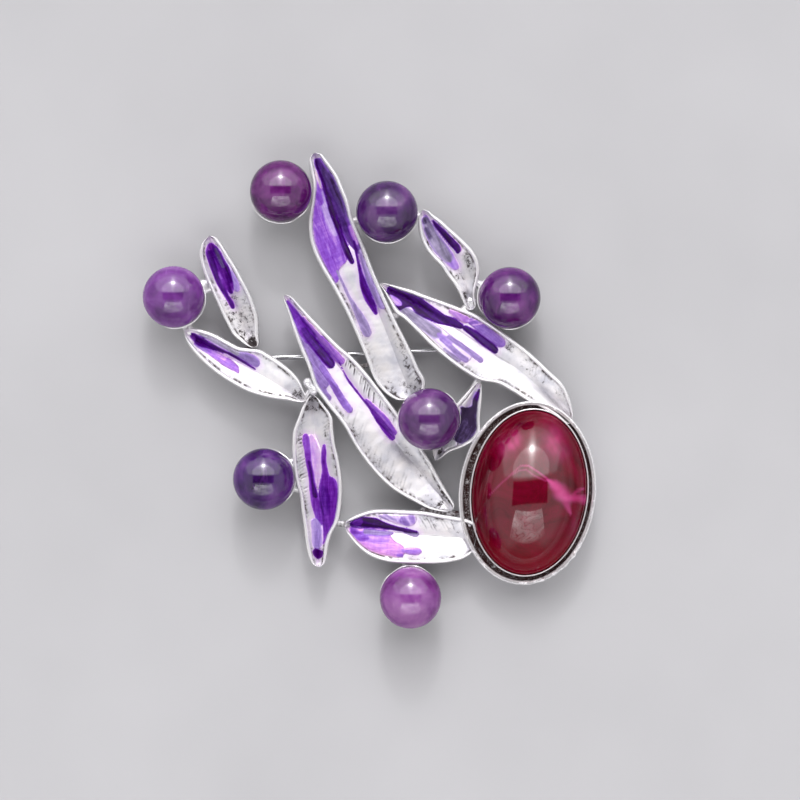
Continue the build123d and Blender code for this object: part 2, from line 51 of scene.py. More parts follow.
# Sections from base to tip: along the leaf as a share of its length, then the left edge, the right edge and
# the fold as shares of its width, left and right as seen when looking from the base to the tip
SECTIONS = {
    "top": [
        (0.0, 0.25, -0.2, 0.0), (0.03, 0.4, -0.33, 0.0), (0.1, 0.57, -0.33, 0.02), (0.2, 0.59, -0.3, 0.02),
        (0.3, 0.6, -0.25, 0.02), (0.4, 0.63, -0.22, 0.02), (0.5, 0.69, -0.2, 0.0), (0.6, 0.77, -0.21, 0.0),
        (0.66, 0.79, -0.21, 0.04), (0.72, 0.75, -0.2, 0.06), (0.78, 0.64, -0.235, 0.07),
        (0.84, 0.46, -0.235, 0.08), (0.9, 0.315, -0.22, 0.08), (0.94, 0.275, -0.17, 0.07),
        (0.97, 0.235, -0.125, 0.06), (0.99, 0.2, -0.09, 0.06), (1.004, 0.15, -0.04, 0.06),
    ],
    "centre": [
        (0.0, 0.13, -0.03, 0.06), (0.05, 0.32, -0.06, 0.06), (0.12, 0.47, -0.11, 0.08),
        (0.2, 0.6, -0.17, 0.08), (0.3, 0.655, -0.22, 0.08), (0.4, 0.64, -0.24, 0.08),
        (0.5, 0.575, -0.25, 0.07), (0.6, 0.57, -0.255, 0.06), (0.67, 0.55, -0.235, 0.04),
        (0.74, 0.44, -0.18, 0.03), (0.82, 0.34, -0.145, 0.03), (0.9, 0.22, -0.115, 0.03),
        (0.95, 0.13, -0.095, 0.01), (0.98, 0.085, -0.085, 0.0), (1.003, 0.05, -0.05, 0.0),
    ],
    "left_upper": [
        (-0.02, 0.05, -0.2, -0.08), (0.06, 0.25, -0.28, -0.04), (0.14, 0.41, -0.38, 0.0),
        (0.22, 0.465, -0.46, 0.02), (0.32, 0.51, -0.49, 0.05), (0.44, 0.54, -0.48, 0.08),
        (0.56, 0.575, -0.43, 0.1), (0.68, 0.595, -0.37, 0.12), (0.78, 0.58, -0.3, 0.13),
        (0.86, 0.54, -0.25, 0.12), (0.92, 0.45, -0.2, 0.1), (0.97, 0.3, -0.12, 0.07),
        (1.0, 0.1, -0.02, 0.05),
    ],
    "left_lower": [
        (0.0, 0.04, -0.06, 0.0), (0.05, 0.14, -0.2, 0.0), (0.12, 0.23, -0.38, 0.0), (0.2, 0.35, -0.48, 0.0),
        (0.3, 0.46, -0.53, 0.0), (0.4, 0.53, -0.55, 0.0), (0.47, 0.545, -0.54, 0.0),
        (0.53, 0.545, -0.45, 0.0), (0.6, 0.535, -0.35, 0.0), (0.7, 0.495, -0.33, 0.02),
        (0.8, 0.42, -0.32, 0.04), (0.88, 0.33, -0.27, 0.03), (0.95, 0.205, -0.19, 0.0),
        (1.0, 0.05, -0.06, 0.0),
    ],
    "bottom_left": [
        (-0.03, 0.07, -0.05, 0.0), (0.03, 0.24, -0.2, 0.0), (0.1, 0.39, -0.3, 0.02),
        (0.18, 0.41, -0.41, 0.02), (0.27, 0.44, -0.44, 0.02), (0.36, 0.5, -0.44, 0.02),
        (0.46, 0.54, -0.41, 0.02), (0.56, 0.54, -0.33, 0.03), (0.65, 0.5, -0.3, 0.04),
        (0.73, 0.43, -0.27, 0.04), (0.8, 0.3, -0.25, 0.03), (0.87, 0.225, -0.225, 0.01),
        (0.93, 0.19, -0.18, 0.0), (0.97, 0.14, -0.12, 0.0), (0.99, 0.09, -0.06, 0.02),
    ],
    "bottom": [
        (-0.03, 0.22, -0.3, 0.0), (0.05, 0.36, -0.36, 0.0), (0.14, 0.44, -0.38, 0.0),
        (0.25, 0.5, -0.39, 0.0), (0.37, 0.54, -0.41, 0.01), (0.5, 0.57, -0.4, 0.02),
        (0.62, 0.575, -0.38, 0.02), (0.72, 0.54, -0.36, 0.01), (0.81, 0.465, -0.32, 0.0),
        (0.89, 0.34, -0.24, 0.0), (0.95, 0.21, -0.16, 0.0), (0.985, 0.11, -0.09, 0.0),
        (1.0, 0.04, -0.04, 0.0),
    ],
    "right": [
        (0.0, 0.05, -0.12, -0.04), (0.05, 0.05, -0.32, -0.1), (0.12, 0.07, -0.49, -0.16),
        (0.2, 0.13, -0.54, -0.2), (0.28, 0.16, -0.58, -0.22), (0.35, 0.21, -0.6, -0.22),
        (0.41, 0.34, -0.6, -0.2), (0.5, 0.395, -0.6, -0.18), (0.6, 0.395, -0.56, -0.16),
        (0.68, 0.37, -0.47, -0.13), (0.76, 0.32, -0.37, -0.09), (0.83, 0.285, -0.28, -0.06),
        (0.88, 0.28, -0.22, -0.04), (0.92, 0.2, -0.15, -0.01), (0.97, 0.1, -0.06, 0.02),
        (1.0, 0.06, 0.0, 0.03),
    ],
    "right_small": [
        (-0.04, 0.1, -0.16, -0.04), (0.08, 0.12, -0.26, -0.08), (0.17, 0.12, -0.46, -0.14),
        (0.26, 0.15, -0.64, -0.18), (0.36, 0.21, -0.715, -0.2), (0.46, 0.25, -0.7, -0.2),
        (0.56, 0.35, -0.61, -0.16), (0.66, 0.415, -0.5, -0.1), (0.76, 0.415, -0.38, -0.04),
        (0.85, 0.365, -0.275, 0.02), (0.92, 0.28, -0.16, 0.04), (0.97, 0.19, -0.09, 0.04),
        (1.0, 0.09, 0.0, 0.05),
    ],
    "small": [
        (0.0, 0.06, -0.02, 0.02), (0.06, 0.22, -0.1, 0.02), (0.15, 0.34, -0.22, 0.02),
        (0.28, 0.4, -0.5, 0.0), (0.4, 0.42, -0.69, -0.04), (0.52, 0.38, -0.71, -0.06),
        (0.62, 0.34, -0.56, -0.06), (0.72, 0.29, -0.43, -0.04), (0.82, 0.23, -0.31, -0.02),
        (0.9, 0.18, -0.2, 0.0), (0.96, 0.13, -0.1, 0.02), (1.0, 0.08, -0.03, 0.02),
    ],
}

# Profile of a leaf's edge: how far in from the edge, and how far below the rim's top. The first points, up to
# EDGE_OUTSIDE, are on the outside of the rim.
EDGE_PROFILE = [
    (0.00, 1.10), (0.03, 0.80), (0.05, 0.45), (0.08, 0.22), (0.13, 0.08), (0.21, 0.01), (0.32, 0.00),
    (0.42, 0.04), (0.49, 0.12), (0.53, 0.23), (0.58, 0.31), (0.65, 0.345), (0.75, 0.36),
]
EDGE_COLUMNS = len(EDGE_PROFILE)
EDGE_OUTSIDE = 5
EDGE_INSET, EDGE_STEP = EDGE_PROFILE[-1]
FOLD_DEPTH = 0.80
FLOOR_THICKNESS = 0.70
FLOOR_BULGE = 0.10
TIP_ROUNDING = 0.55
# Half widths below which a section's edge, step and fold begin to shrink
EDGE_HALF_WIDTH, STEP_HALF_WIDTH, FOLD_HALF_WIDTH = 1.25, 0.8, 1.6
ROW_STEP = 0.085
FLOOR_COLUMNS = 15
UNDER_COLUMNS = 6
GROOVE_DEPTH = 0.05
# Waves on a leaf's metal: how high, how long, and the number added to the leaf's seed
LEAF_WAVES = [(0.018, 2.1, 0), (0.010, 0.8, 3)]

# Finish by column, from a leaf's edge inwards: tarnish, dark tarnish at the foot of the rim, and polish
# The polish also paints the rim near white, as a painted highlight.
TARNISH_BY_COLUMN = [0.0, 0.32, 0.32, 0, 0, 0, 0, 0, 0, 0.28, 0.40, 0.44, 0.40, 0.24, 0.12]
DARK_BY_COLUMN = [0, 0, 0, 0, 0, 0, 0, 0, 0, 0.25, 0.75, 0.85, 0.55, 0.20]
POLISH_AND_HIGHLIGHT_BY_COLUMN = [0, 0, 1, 1, 1, 1, 1, 1, 1]
UNDER_TARNISH = 0.24
# Painted shade on a leaf's outer walls, under the edge of the rim
OUTER_DARK = 0.35

# Grooves cut across a leaf: from and to along it, from and to across it as shares of its width, spacing in
# millimetres, lean, and strength
GROOVES = {
    "top": [(0.02, 0.24, -0.28, -0.04, 0.50, -0.5, 0.8), (0.02, 0.42, 0.42, 0.60, 0.50, 0.5, 0.45)],
    "centre": [
        (0.38, 0.67, -0.22, -0.01, 0.46, -0.9, 2.4),
        (0.64, 0.80, -0.18, -0.04, 0.46, -0.8, 0.6),
        (0.16, 0.52, 0.26, 0.58, 0.52, 0.7, 0.55),
        (0.02, 0.20, -0.12, 0.20, 0.50, 0.4, 0.3),
    ],
    "left_upper": [(0.05, 0.42, -0.40, 0.40, 0.55, 0.4, 0.40)],
    "left_lower": [(0.50, 0.95, -0.32, -0.12, 0.40, -0.9, 0.5)],
    "bottom_left": [(0.12, 0.88, -0.40, -0.16, 0.46, -0.5, 1.0), (0.10, 0.26, 0.20, 0.40, 0.46, 0.5, 0.6)],
    "bottom": [(0.10, 0.46, -0.38, -0.06, 0.42, -0.7, 0.8), (0.44, 0.78, -0.36, -0.14, 0.46, -0.7, 0.8)],
    "right": [(0.06, 0.30, -0.58, -0.30, 0.50, -0.5, 0.4), (0.40, 0.62, -0.56, -0.20, 0.42, -0.8, 0.6)],
    "right_small": [(0.15, 0.50, -0.62, -0.34, 0.46, -0.5, 0.6)],
    "small": [(0.10, 0.50, -0.30, 0.30, 0.50, 0.3, 0.2)],
}
# How the strength and the length of each groove are scattered: factors for its number, for the leaf's seed,
# and for their wave
GROOVE_STRENGTHS = (12.9898, 78.233, 43758.5453)
GROOVE_LENGTHS = (39.346, 11.135, 24634.6345)

# Dark tarnish on a leaf: from and to along it, from and to across it as shares of its width, and strength
TARNISH = {
    "top": [
        (0.0, 0.1, -0.3, 0.2, 0.45), (0.0, 0.1, 0.26, 0.52, 0.75), (0.28, 0.5, 0.5, 0.62, 0.6),
        (0.0, 0.25, -0.3, -0.05, 0.55),
    ],
    "centre": [
        (0.38, 0.7, -0.24, -0.04, 0.15), (0.0, 0.1, -0.12, 0.3, 0.7), (0.14, 0.32, -0.02, 0.18, 0.45),
        (0.2, 0.55, 0.44, 0.6, 0.4),
    ],
    "left_upper": [(-0.02, 0.08, -0.4, 0.4, 1.1), (0.09, 0.46, -0.5, 0.5, 0.5)],
    "left_lower": [
        (0.02, 0.13, -0.4, 0.2, 0.7), (0.4, 0.95, -0.36, -0.2, 0.4), (0.38, 0.5, 0.08, 0.32, 0.45),
    ],
    "bottom_left": [
        (-0.03, 0.07, -0.3, 0.3, 0.85), (0.1, 0.25, 0.2, 0.42, 0.55), (0.1, 0.85, -0.44, -0.2, 0.45),
    ],
    "bottom": [(0.08, 0.46, -0.4, -0.06, 0.28), (0.14, 0.46, -0.4, -0.3, 0.45)],
    "right": [
        (0.04, 0.34, -0.6, -0.26, 0.4), (0.37, 0.42, -0.54, -0.38, 0.7), (0.32, 0.4, 0.05, 0.3, 0.45),
        (0.0, 0.06, -0.3, 0.05, 0.7),
    ],
    "right_small": [
        (0.19, 0.5, -0.55, -0.32, 0.5), (0.04, 0.18, -0.2, 0.05, 0.56), (0.1, 0.45, -0.2, 0.2, 0.45),
    ],
    "small": [(0.05, 0.35, -0.4, 0.1, 0.6), (0.66, 0.95, 0.0, 0.3, 0.5)],
}

# Soft grey shading on a leaf, in the same way
SHADES = {
    "top": [(0.0, 0.05, -0.3, 0.0, 0.45), (0.0, 0.06, 0.2, 0.5, 0.4)],
    "centre": [(0.18, 0.31, 0.0, 0.16, 0.3), (0.0, 0.1, 0.1, 0.4, 0.3), (0.2, 0.5, 0.5, 0.6, 0.2)],
    "left_upper": [(0.6, 0.86, 0.36, 0.44, 0.55), (0.66, 0.9, -0.28, -0.16, 0.35)],
    "left_lower": [(0.03, 0.09, -0.22, 0.05, 0.45), (0.5, 0.9, 0.3, 0.42, 0.2)],
    "bottom_left": [(-0.03, 0.07, -0.2, 0.35, 0.6), (0.3, 0.5, 0.3, 0.45, 0.12)],
    "bottom": [
        (-0.03, 0.05, -0.4, 0.24, 0.65), (0.02, 0.1, 0.05, 0.22, 0.3), (0.1, 0.42, -0.36, -0.06, 0.14),
    ],
    "right": [(0.06, 0.22, -0.26, -0.1, 0.4), (0.0, 0.06, -0.3, 0.0, 0.45), (0.3, 0.44, -0.3, -0.18, 0.16)],
    "right_small": [(0.04, 0.14, -0.2, 0.05, 0.25), (0.2, 0.48, -0.55, -0.34, 0.2)],
    "small": [(0.1, 0.32, -0.36, 0.0, 0.6), (0.68, 0.9, 0.14, 0.3, 0.35)],
}
# How soft the borders of these patches are: along the leaf, and across it
SOFT_ALONG, SOFT_ACROSS = 0.04, 0.05

# Poured enamel, lower layers first: tone from 0 (pale) to 1 (nearly black violet), pink from 0 to 1 (below 0
# greyer), blur of the layer's border in millimetres, and its stretch as rows of along, from and to across
ENAMEL = {
    "top": [
        (0.47, 0.1, 0.1, [(0.513, 0.53, 0.66), (0.54, 0.46, 0.74), (0.56, 0.4, 0.78), (0.574, 0.25, 0.8),
            (0.6, 0.2, 0.8), (0.66, 0.2, 0.82), (0.75, 0.19, 0.8), (0.84, 0.16, 0.6), (0.9, 0.14, 0.4),
            (0.93, 0.12, 0.32)]),
        (0.34, -0.25, 0.28, [(0.68, 0.2, 0.3), (0.76, 0.18, 0.34), (0.82, 0.17, 0.3), (0.86, 0.16, 0.24)]),
        (0.56, 0.0, 0.2, [(0.81, 0.24, 0.36), (0.85, 0.21, 0.33), (0.89, 0.19, 0.28)]),
        (0.05, 0.2, 0.12, [(0.87, 0.155, 0.2), (0.9, 0.145, 0.2), (0.94, 0.13, 0.18)]),
        (0.76, -0.1, 0.1, [(0.585, -0.07, -0.03), (0.64, -0.2, 0.08), (0.72, -0.23, 0.1),
            (0.82, -0.23, 0.12), (0.92, -0.18, 0.12), (0.975, -0.06, 0.12), (0.985, 0.03, 0.09)]),
        (0.34, 0.3, 0.2, [(0.62, -0.12, -0.05), (0.66, -0.13, -0.03), (0.7, -0.11, -0.04)]),
        (0.88, -0.2, 0.24, [(0.72, -0.18, -0.1), (0.78, -0.17, -0.02), (0.88, -0.12, 0.04),
            (0.94, -0.06, 0.06)]),
        (0.97, 0.0, 0.08, [(0.558, 0.09, 0.19), (0.6, 0.09, 0.22), (0.66, 0.1, 0.22), (0.72, 0.08, 0.21),
            (0.78, 0.08, 0.2), (0.84, 0.08, 0.17), (0.9, 0.07, 0.14), (0.95, 0.07, 0.12),
            (0.985, 0.06, 0.1)]),
        (0.54, -0.35, 0.28, [(0.355, -0.17, -0.04), (0.42, -0.18, 0.02), (0.52, -0.19, 0.0),
            (0.6, -0.18, -0.05)]),
        (0.84, 0.1, 0.07, [(0.345, 0.03, 0.11), (0.38, 0.01, 0.15), (0.42, 0.01, 0.19), (0.46, 0.02, 0.18),
            (0.5, 0.02, 0.13), (0.55, 0.0, 0.07), (0.6, -0.04, 0.02), (0.64, -0.07, -0.03)]),
        (0.64, -0.45, 0.1, [(0.278, 0.29, 0.46), (0.32, 0.28, 0.48), (0.37, 0.32, 0.48), (0.43, 0.4, 0.48),
            (0.5, 0.44, 0.5), (0.56, 0.46, 0.52)]),
    ],
    "centre": [
        (0.62, -0.3, 0.22, [(0.64, 0.3, 0.52), (0.7, 0.22, 0.48), (0.78, 0.18, 0.38), (0.86, 0.14, 0.27),
            (0.9, 0.12, 0.2)]),
        (0.62, -0.3, 0.1, [(0.595, 0.43, 0.55), (0.64, 0.42, 0.57), (0.68, 0.38, 0.56), (0.71, 0.34, 0.5)]),
        (0.62, -0.15, 0.1, [(0.512, 0.28, 0.39), (0.55, 0.27, 0.4), (0.6, 0.25, 0.37), (0.66, 0.22, 0.33),
            (0.72, 0.2, 0.3)]),
        (0.4, 0.3, 0.32, [(0.67, -0.12, 0.02), (0.74, -0.12, 0.04), (0.84, -0.1, 0.05), (0.9, -0.08, 0.04)]),
        (0.68, 0.0, 0.14, [(0.8, 0.0, 0.22), (0.86, 0.0, 0.2), (0.92, -0.01, 0.14), (0.985, 0.0, 0.05)]),
        (0.86, 0.0, 0.16, [(0.683, 0.05, 0.18), (0.72, 0.03, 0.2), (0.78, 0.03, 0.2), (0.84, 0.05, 0.18),
            (0.87, 0.07, 0.15)]),
        (0.1, 0.2, 0.12, [(0.8, -0.1, -0.05), (0.86, -0.09, -0.04), (0.93, -0.07, -0.03)]),
        (0.46, 0.3, 0.18, [(0.345, -0.04, 0.05), (0.4, -0.07, 0.04), (0.46, -0.05, 0.04),
            (0.52, 0.0, 0.05)]),
        (0.76, 0.2, 0.06, [(0.335, 0.03, 0.13), (0.37, 0.02, 0.14), (0.42, 0.02, 0.13), (0.48, 0.03, 0.09),
            (0.55, 0.04, 0.08), (0.62, 0.03, 0.07), (0.66, 0.0, 0.03), (0.685, -0.02, 0.01)]),
    ],
    "left_upper": [
        (0.42, -0.25, 0.22, [(0.47, -0.28, -0.06), (0.54, -0.29, -0.04), (0.62, -0.27, -0.04),
            (0.68, -0.24, -0.1)]),
        (0.34, -0.5, 0.28, [(0.66, -0.25, -0.12), (0.76, -0.22, -0.1), (0.86, -0.16, -0.06)]),
        (0.74, 0.4, 0.08, [(0.35, 0.07, 0.19), (0.4, 0.06, 0.22), (0.44, 0.08, 0.24), (0.48, 0.12, 0.27),
            (0.52, 0.12, 0.3), (0.58, 0.04, 0.335), (0.66, 0.0, 0.355), (0.76, -0.02, 0.36),
            (0.84, -0.04, 0.345), (0.9, -0.04, 0.29), (0.945, 0.02, 0.18)]),
        (0.74, 0.5, 0.08, [(0.472, -0.03, 0.07), (0.5, -0.07, 0.11), (0.56, -0.12, 0.14),
            (0.62, -0.155, 0.12), (0.68, -0.165, 0.1), (0.76, -0.13, 0.06), (0.84, -0.105, 0.06),
            (0.91, -0.05, 0.06)]),
        (0.92, 0.2, 0.13, [(0.355, 0.1, 0.16), (0.42, 0.1, 0.18), (0.5, 0.17, 0.24), (0.58, 0.2, 0.3),
            (0.66, 0.2, 0.33), (0.76, 0.14, 0.33), (0.86, 0.14, 0.3), (0.89, 0.18, 0.26)]),
        (0.9, 0.1, 0.2, [(0.56, -0.11, -0.03), (0.64, -0.13, -0.04), (0.72, -0.11, -0.02)]),
        (0.8, -0.3, 0.25, [(0.7, -0.08, 0.06), (0.8, -0.08, 0.08), (0.89, -0.04, 0.08)]),
        (0.5, 0.5, 0.12, [(0.62, 0.11, 0.18), (0.66, 0.12, 0.2), (0.69, 0.13, 0.18)]),
        (0.6, 1.0, 0.15, [(0.885, 0.1, 0.27), (0.91, 0.07, 0.22), (0.945, 0.05, 0.14)]),
    ],
    "left_lower": [
        (0.54, -0.3, 0.34, [(0.412, -0.28, -0.1), (0.45, -0.34, -0.09), (0.52, -0.34, -0.08),
            (0.58, -0.29, -0.08), (0.66, -0.24, -0.09)]),
        (0.6, -0.7, 0.28, [(0.58, -0.27, -0.1), (0.7, -0.25, -0.1), (0.82, -0.23, -0.1),
            (0.9, -0.18, -0.08)]),
        (0.4, 0.15, 0.1, [(0.513, 0.19, 0.26), (0.54, 0.09, 0.255), (0.58, 0.04, 0.265),
            (0.64, 0.025, 0.265), (0.7, 0.03, 0.245), (0.78, 0.05, 0.22), (0.86, 0.1, 0.19),
            (0.9, 0.12, 0.17)]),
        (0.26, 0.2, 0.22, [(0.64, 0.04, 0.14), (0.7, 0.04, 0.13), (0.76, 0.08, 0.14)]),
        (0.48, -0.2, 0.16, [(0.78, 0.12, 0.2), (0.84, 0.13, 0.2), (0.89, 0.14, 0.18)]),
        (0.9, 0.3, 0.07, [(0.422, -0.07, -0.03), (0.48, -0.09, -0.03), (0.56, -0.1, -0.03),
            (0.66, -0.1, -0.02), (0.72, -0.09, 0.03), (0.8, -0.08, 0.09), (0.86, -0.1, 0.14),
            (0.9, -0.09, 0.12), (0.94, -0.07, 0.06), (0.957, -0.03, 0.02)]),
        (0.6, 0.5, 0.15, [(0.9, 0.0, 0.11), (0.93, -0.02, 0.09), (0.95, -0.02, 0.04)]),
    ],
    "bottom_left": [
        (0.16, 0.1, 0.45, [(0.2, -0.13, 0.02), (0.28, -0.12, 0.12), (0.4, -0.08, 0.15), (0.52, 0.0, 0.12)]),
        (0.7, 0.3, 0.12, [(0.455, 0.2, 0.4), (0.5, 0.12, 0.45), (0.56, 0.1, 0.47), (0.64, 0.08, 0.47),
            (0.7, 0.1, 0.42), (0.76, 0.12, 0.33), (0.82, 0.12, 0.2), (0.86, 0.1, 0.13)]),
        (0.72, 0.3, 0.09, [(0.262, 0.17, 0.24), (0.3, 0.15, 0.25), (0.36, 0.13, 0.245), (0.42, 0.14, 0.27),
            (0.48, 0.1, 0.33), (0.54, 0.06, 0.38), (0.6, 0.04, 0.36), (0.66, 0.04, 0.3)]),
        (0.6, 0.4, 0.09, [(0.195, -0.21, -0.11), (0.24, -0.235, -0.085), (0.3, -0.2, -0.07),
            (0.36, -0.18, -0.06), (0.42, -0.145, -0.03), (0.5, -0.125, 0.01), (0.56, -0.115, 0.06),
            (0.62, -0.095, 0.1), (0.68, -0.04, 0.12), (0.725, 0.01, 0.1)]),
        (0.86, 0.2, 0.12, [(0.36, -0.14, -0.08), (0.42, -0.11, -0.05), (0.5, -0.08, -0.01),
            (0.58, -0.05, 0.06)]),
        (0.84, 0.0, 0.35, [(0.51, 0.12, 0.2), (0.58, 0.09, 0.28), (0.64, 0.08, 0.28), (0.69, 0.11, 0.25)]),
        (0.66, 0.1, 0.12, [(0.64, 0.0, 0.1), (0.7, -0.02, 0.13), (0.75, 0.02, 0.12)]),
        (0.46, -0.3, 0.16, [(0.7, -0.1, 0.0), (0.74, -0.11, 0.09), (0.8, -0.11, 0.11), (0.86, -0.1, 0.1),
            (0.885, -0.08, 0.08)]),
        (0.86, 0.9, 0.06, [(0.88, -0.1, 0.02), (0.9, -0.1, 0.13), (0.93, -0.06, 0.09),
            (0.945, -0.01, 0.03)]),
    ],
    "bottom": [
        (0.23, 0.6, 0.12, [(0.505, 0.26, 0.44), (0.54, 0.23, 0.465), (0.6, 0.17, 0.475), (0.66, 0.03, 0.465),
            (0.74, 0.01, 0.44), (0.82, 0.01, 0.37), (0.88, 0.01, 0.29), (0.93, 0.02, 0.2),
            (0.965, 0.02, 0.1)]),
        (0.32, 0.2, 0.26, [(0.63, 0.06, 0.22), (0.7, 0.06, 0.26), (0.8, 0.06, 0.26), (0.88, 0.06, 0.2)]),
        (0.34, 0.0, 0.08, [(0.377, 0.27, 0.36), (0.41, 0.25, 0.39), (0.46, 0.26, 0.4), (0.505, 0.28, 0.38),
            (0.535, 0.3, 0.36)]),
        (0.6, 0.0, 0.24, [(0.8, 0.16, 0.22), (0.86, 0.11, 0.25), (0.92, 0.05, 0.18), (0.955, 0.03, 0.09)]),
        (0.64, -0.35, 0.2, [(0.61, 0.02, 0.08), (0.72, 0.02, 0.12), (0.85, 0.02, 0.13)]),
        (0.38, 0.0, 0.12, [(0.515, 0.4, 0.455), (0.54, 0.4, 0.46), (0.57, 0.41, 0.455)]),
        (0.56, -0.5, 0.08, [(0.412, -0.04, 0.075), (0.45, -0.04, 0.075), (0.5, -0.03, 0.05),
            (0.54, -0.03, 0.02)]),
        (0.95, 0.1, 0.07, [(0.425, -0.045, 0.01), (0.5, -0.065, 0.01), (0.6, -0.09, 0.005),
            (0.7, -0.14, 0.0), (0.76, -0.185, 0.0), (0.84, -0.19, 0.02), (0.9, -0.165, 0.04),
            (0.945, -0.09, 0.03), (0.965, -0.05, 0.01)]),
        (0.7, 0.1, 0.16, [(0.86, -0.14, -0.04), (0.9, -0.14, 0.0), (0.94, -0.08, 0.0)]),
        (0.2, -0.2, 0.25, [(0.445, -0.34, -0.12), (0.5, -0.35, -0.1), (0.56, -0.34, -0.11),
            (0.62, -0.33, -0.13), (0.68, -0.32, -0.17), (0.74, -0.3, -0.2)]),
        (0.44, -0.2, 0.22, [(0.455, -0.22, -0.14), (0.475, -0.32, -0.17), (0.5, -0.33, -0.22),
            (0.515, -0.33, -0.27)]),
        (0.48, -0.2, 0.2, [(0.495, -0.16, -0.1), (0.525, -0.22, -0.1), (0.555, -0.27, -0.14),
            (0.58, -0.24, -0.15)]),
        (0.52, -0.4, 0.1, [(0.6, -0.2, -0.165), (0.64, -0.23, -0.19), (0.68, -0.28, -0.24),
            (0.715, -0.3, -0.27)]),
        (0.48, -0.4, 0.1, [(0.66, -0.185, -0.16), (0.7, -0.22, -0.19), (0.75, -0.25, -0.22)]),
    ],
    "right": [
        (0.12, -0.3, 0.16, [(0.5, 0.0, 0.28), (0.58, 0.0, 0.32), (0.62, 0.0, 0.32), (0.7, 0.0, 0.3),
            (0.78, 0.04, 0.27), (0.862, 0.08, 0.25)]),
        (0.66, -0.6, 0.24, [(0.66, 0.04, 0.22), (0.76, 0.06, 0.25), (0.84, 0.08, 0.25), (0.863, 0.1, 0.24)]),
        (0.56, -0.35, 0.1, [(0.452, -0.01, 0.1), (0.5, -0.01, 0.09), (0.58, 0.0, 0.09), (0.64, 0.03, 0.1)]),
        (0.58, -0.35, 0.1, [(0.503, 0.15, 0.26), (0.55, 0.15, 0.25), (0.6, 0.13, 0.22), (0.66, 0.12, 0.2)]),
        (0.6, -0.5, 0.1, [(0.528, 0.25, 0.31), (0.58, 0.255, 0.31), (0.62, 0.26, 0.3)]),
        (0.44, -0.2, 0.2, [(0.6, 0.1, 0.19), (0.64, 0.08, 0.19), (0.68, 0.09, 0.17)]),
        (0.5, -0.1, 0.14, [(0.418, -0.5, -0.34), (0.46, -0.52, -0.32), (0.52, -0.52, -0.32),
            (0.58, -0.5, -0.34), (0.61, -0.46, -0.34)]),
        (0.28, 0.3, 0.22, [(0.6, -0.46, -0.3), (0.65, -0.42, -0.28), (0.7, -0.38, -0.28)]),
        (0.24, 0.1, 0.05, [(0.548, -0.53, -0.48), (0.56, -0.48, -0.43), (0.572, -0.43, -0.38),
            (0.584, -0.38, -0.35)]),
        (0.24, 0.1, 0.05, [(0.58, -0.52, -0.47), (0.592, -0.47, -0.42), (0.604, -0.42, -0.37),
            (0.616, -0.37, -0.34)]),
        (0.92, 0.2, 0.09, [(0.425, -0.3, -0.19), (0.46, -0.33, -0.18), (0.52, -0.33, -0.18),
            (0.58, -0.32, -0.2), (0.61, -0.3, -0.2)]),
        (0.92, 0.1, 0.07, [(0.605, -0.28, -0.19), (0.66, -0.28, -0.1), (0.7, -0.23, -0.02),
            (0.75, -0.215, 0.04), (0.8, -0.21, 0.07), (0.85, -0.2, 0.09), (0.868, -0.19, 0.23),
            (0.9, -0.14, 0.22), (0.93, -0.1, 0.15), (0.965, -0.04, 0.06)]),
        (0.26, 0.0, 0.07, [(0.872, 0.07, 0.15), (0.9, 0.05, 0.17), (0.925, 0.06, 0.15), (0.94, 0.08, 0.12)]),
    ],
    "right_small": [
        (0.42, -0.15, 0.16, [(0.355, -0.2, -0.04), (0.4, -0.225, 0.03), (0.46, -0.21, 0.1),
            (0.52, -0.2, 0.16), (0.6, -0.165, 0.235), (0.7, -0.1, 0.265), (0.8, -0.06, 0.255),
            (0.88, -0.04, 0.21), (0.95, 0.0, 0.1)]),
        (0.7, -0.6, 0.26, [(0.45, -0.14, 0.08), (0.6, -0.12, 0.21), (0.7, -0.06, 0.24), (0.8, -0.03, 0.23),
            (0.88, 0.0, 0.18), (0.93, 0.03, 0.12)]),
        (0.94, -0.4, 0.22, [(0.72, 0.12, 0.23), (0.78, 0.11, 0.235), (0.84, 0.12, 0.22)]),
        (0.96, -0.4, 0.2, [(0.87, 0.08, 0.19), (0.9, 0.06, 0.19), (0.935, 0.06, 0.15)]),
        (0.34, 0.5, 0.12, [(0.495, -0.45, -0.33), (0.54, -0.46, -0.3), (0.6, -0.42, -0.27)]),
        (0.9, 0.1, 0.07, [(0.488, -0.38, -0.28), (0.52, -0.42, -0.27), (0.58, -0.425, -0.22),
            (0.64, -0.37, -0.175), (0.7, -0.31, -0.13), (0.8, -0.2, -0.065), (0.86, -0.13, -0.055),
            (0.885, -0.1, -0.07)]),
    ],
    "small": [
        (0.42, -0.9, 0.28, [(0.14, -0.18, 0.05), (0.22, -0.28, 0.0), (0.3, -0.35, -0.05)]),
        (1.0, -0.35, 0.12, [(0.29, -0.42, -0.12), (0.36, -0.56, -0.1), (0.46, -0.6, -0.06),
            (0.56, -0.58, 0.04), (0.62, -0.5, 0.1), (0.655, -0.45, 0.16), (0.69, -0.38, -0.03),
            (0.8, -0.29, -0.03), (0.88, -0.21, -0.025), (0.93, -0.12, -0.03)]),
        (0.06, -0.5, 0.1, [(0.665, -0.03, 0.2), (0.74, -0.04, 0.22), (0.84, -0.03, 0.2),
            (0.92, -0.02, 0.14)]),
        (0.88, 0.6, 0.2, [(0.8, -0.2, -0.06), (0.84, -0.19, -0.05), (0.89, -0.15, -0.05)]),
    ],
}
BARE_TONE, BARE_PINK = 0.06, 0.2
ENAMEL_FAR = 9.0
ENAMEL_STEP = 0.09
ENAMEL_LIFT = 0.03
ENAMEL_SUNK = 0.08
ENAMEL_THICKNESS = 0.17
ENAMEL_SHOULDER = 0.40
ENAMEL_INSET = 0.60
SMALLEST_FACE = 0.0002

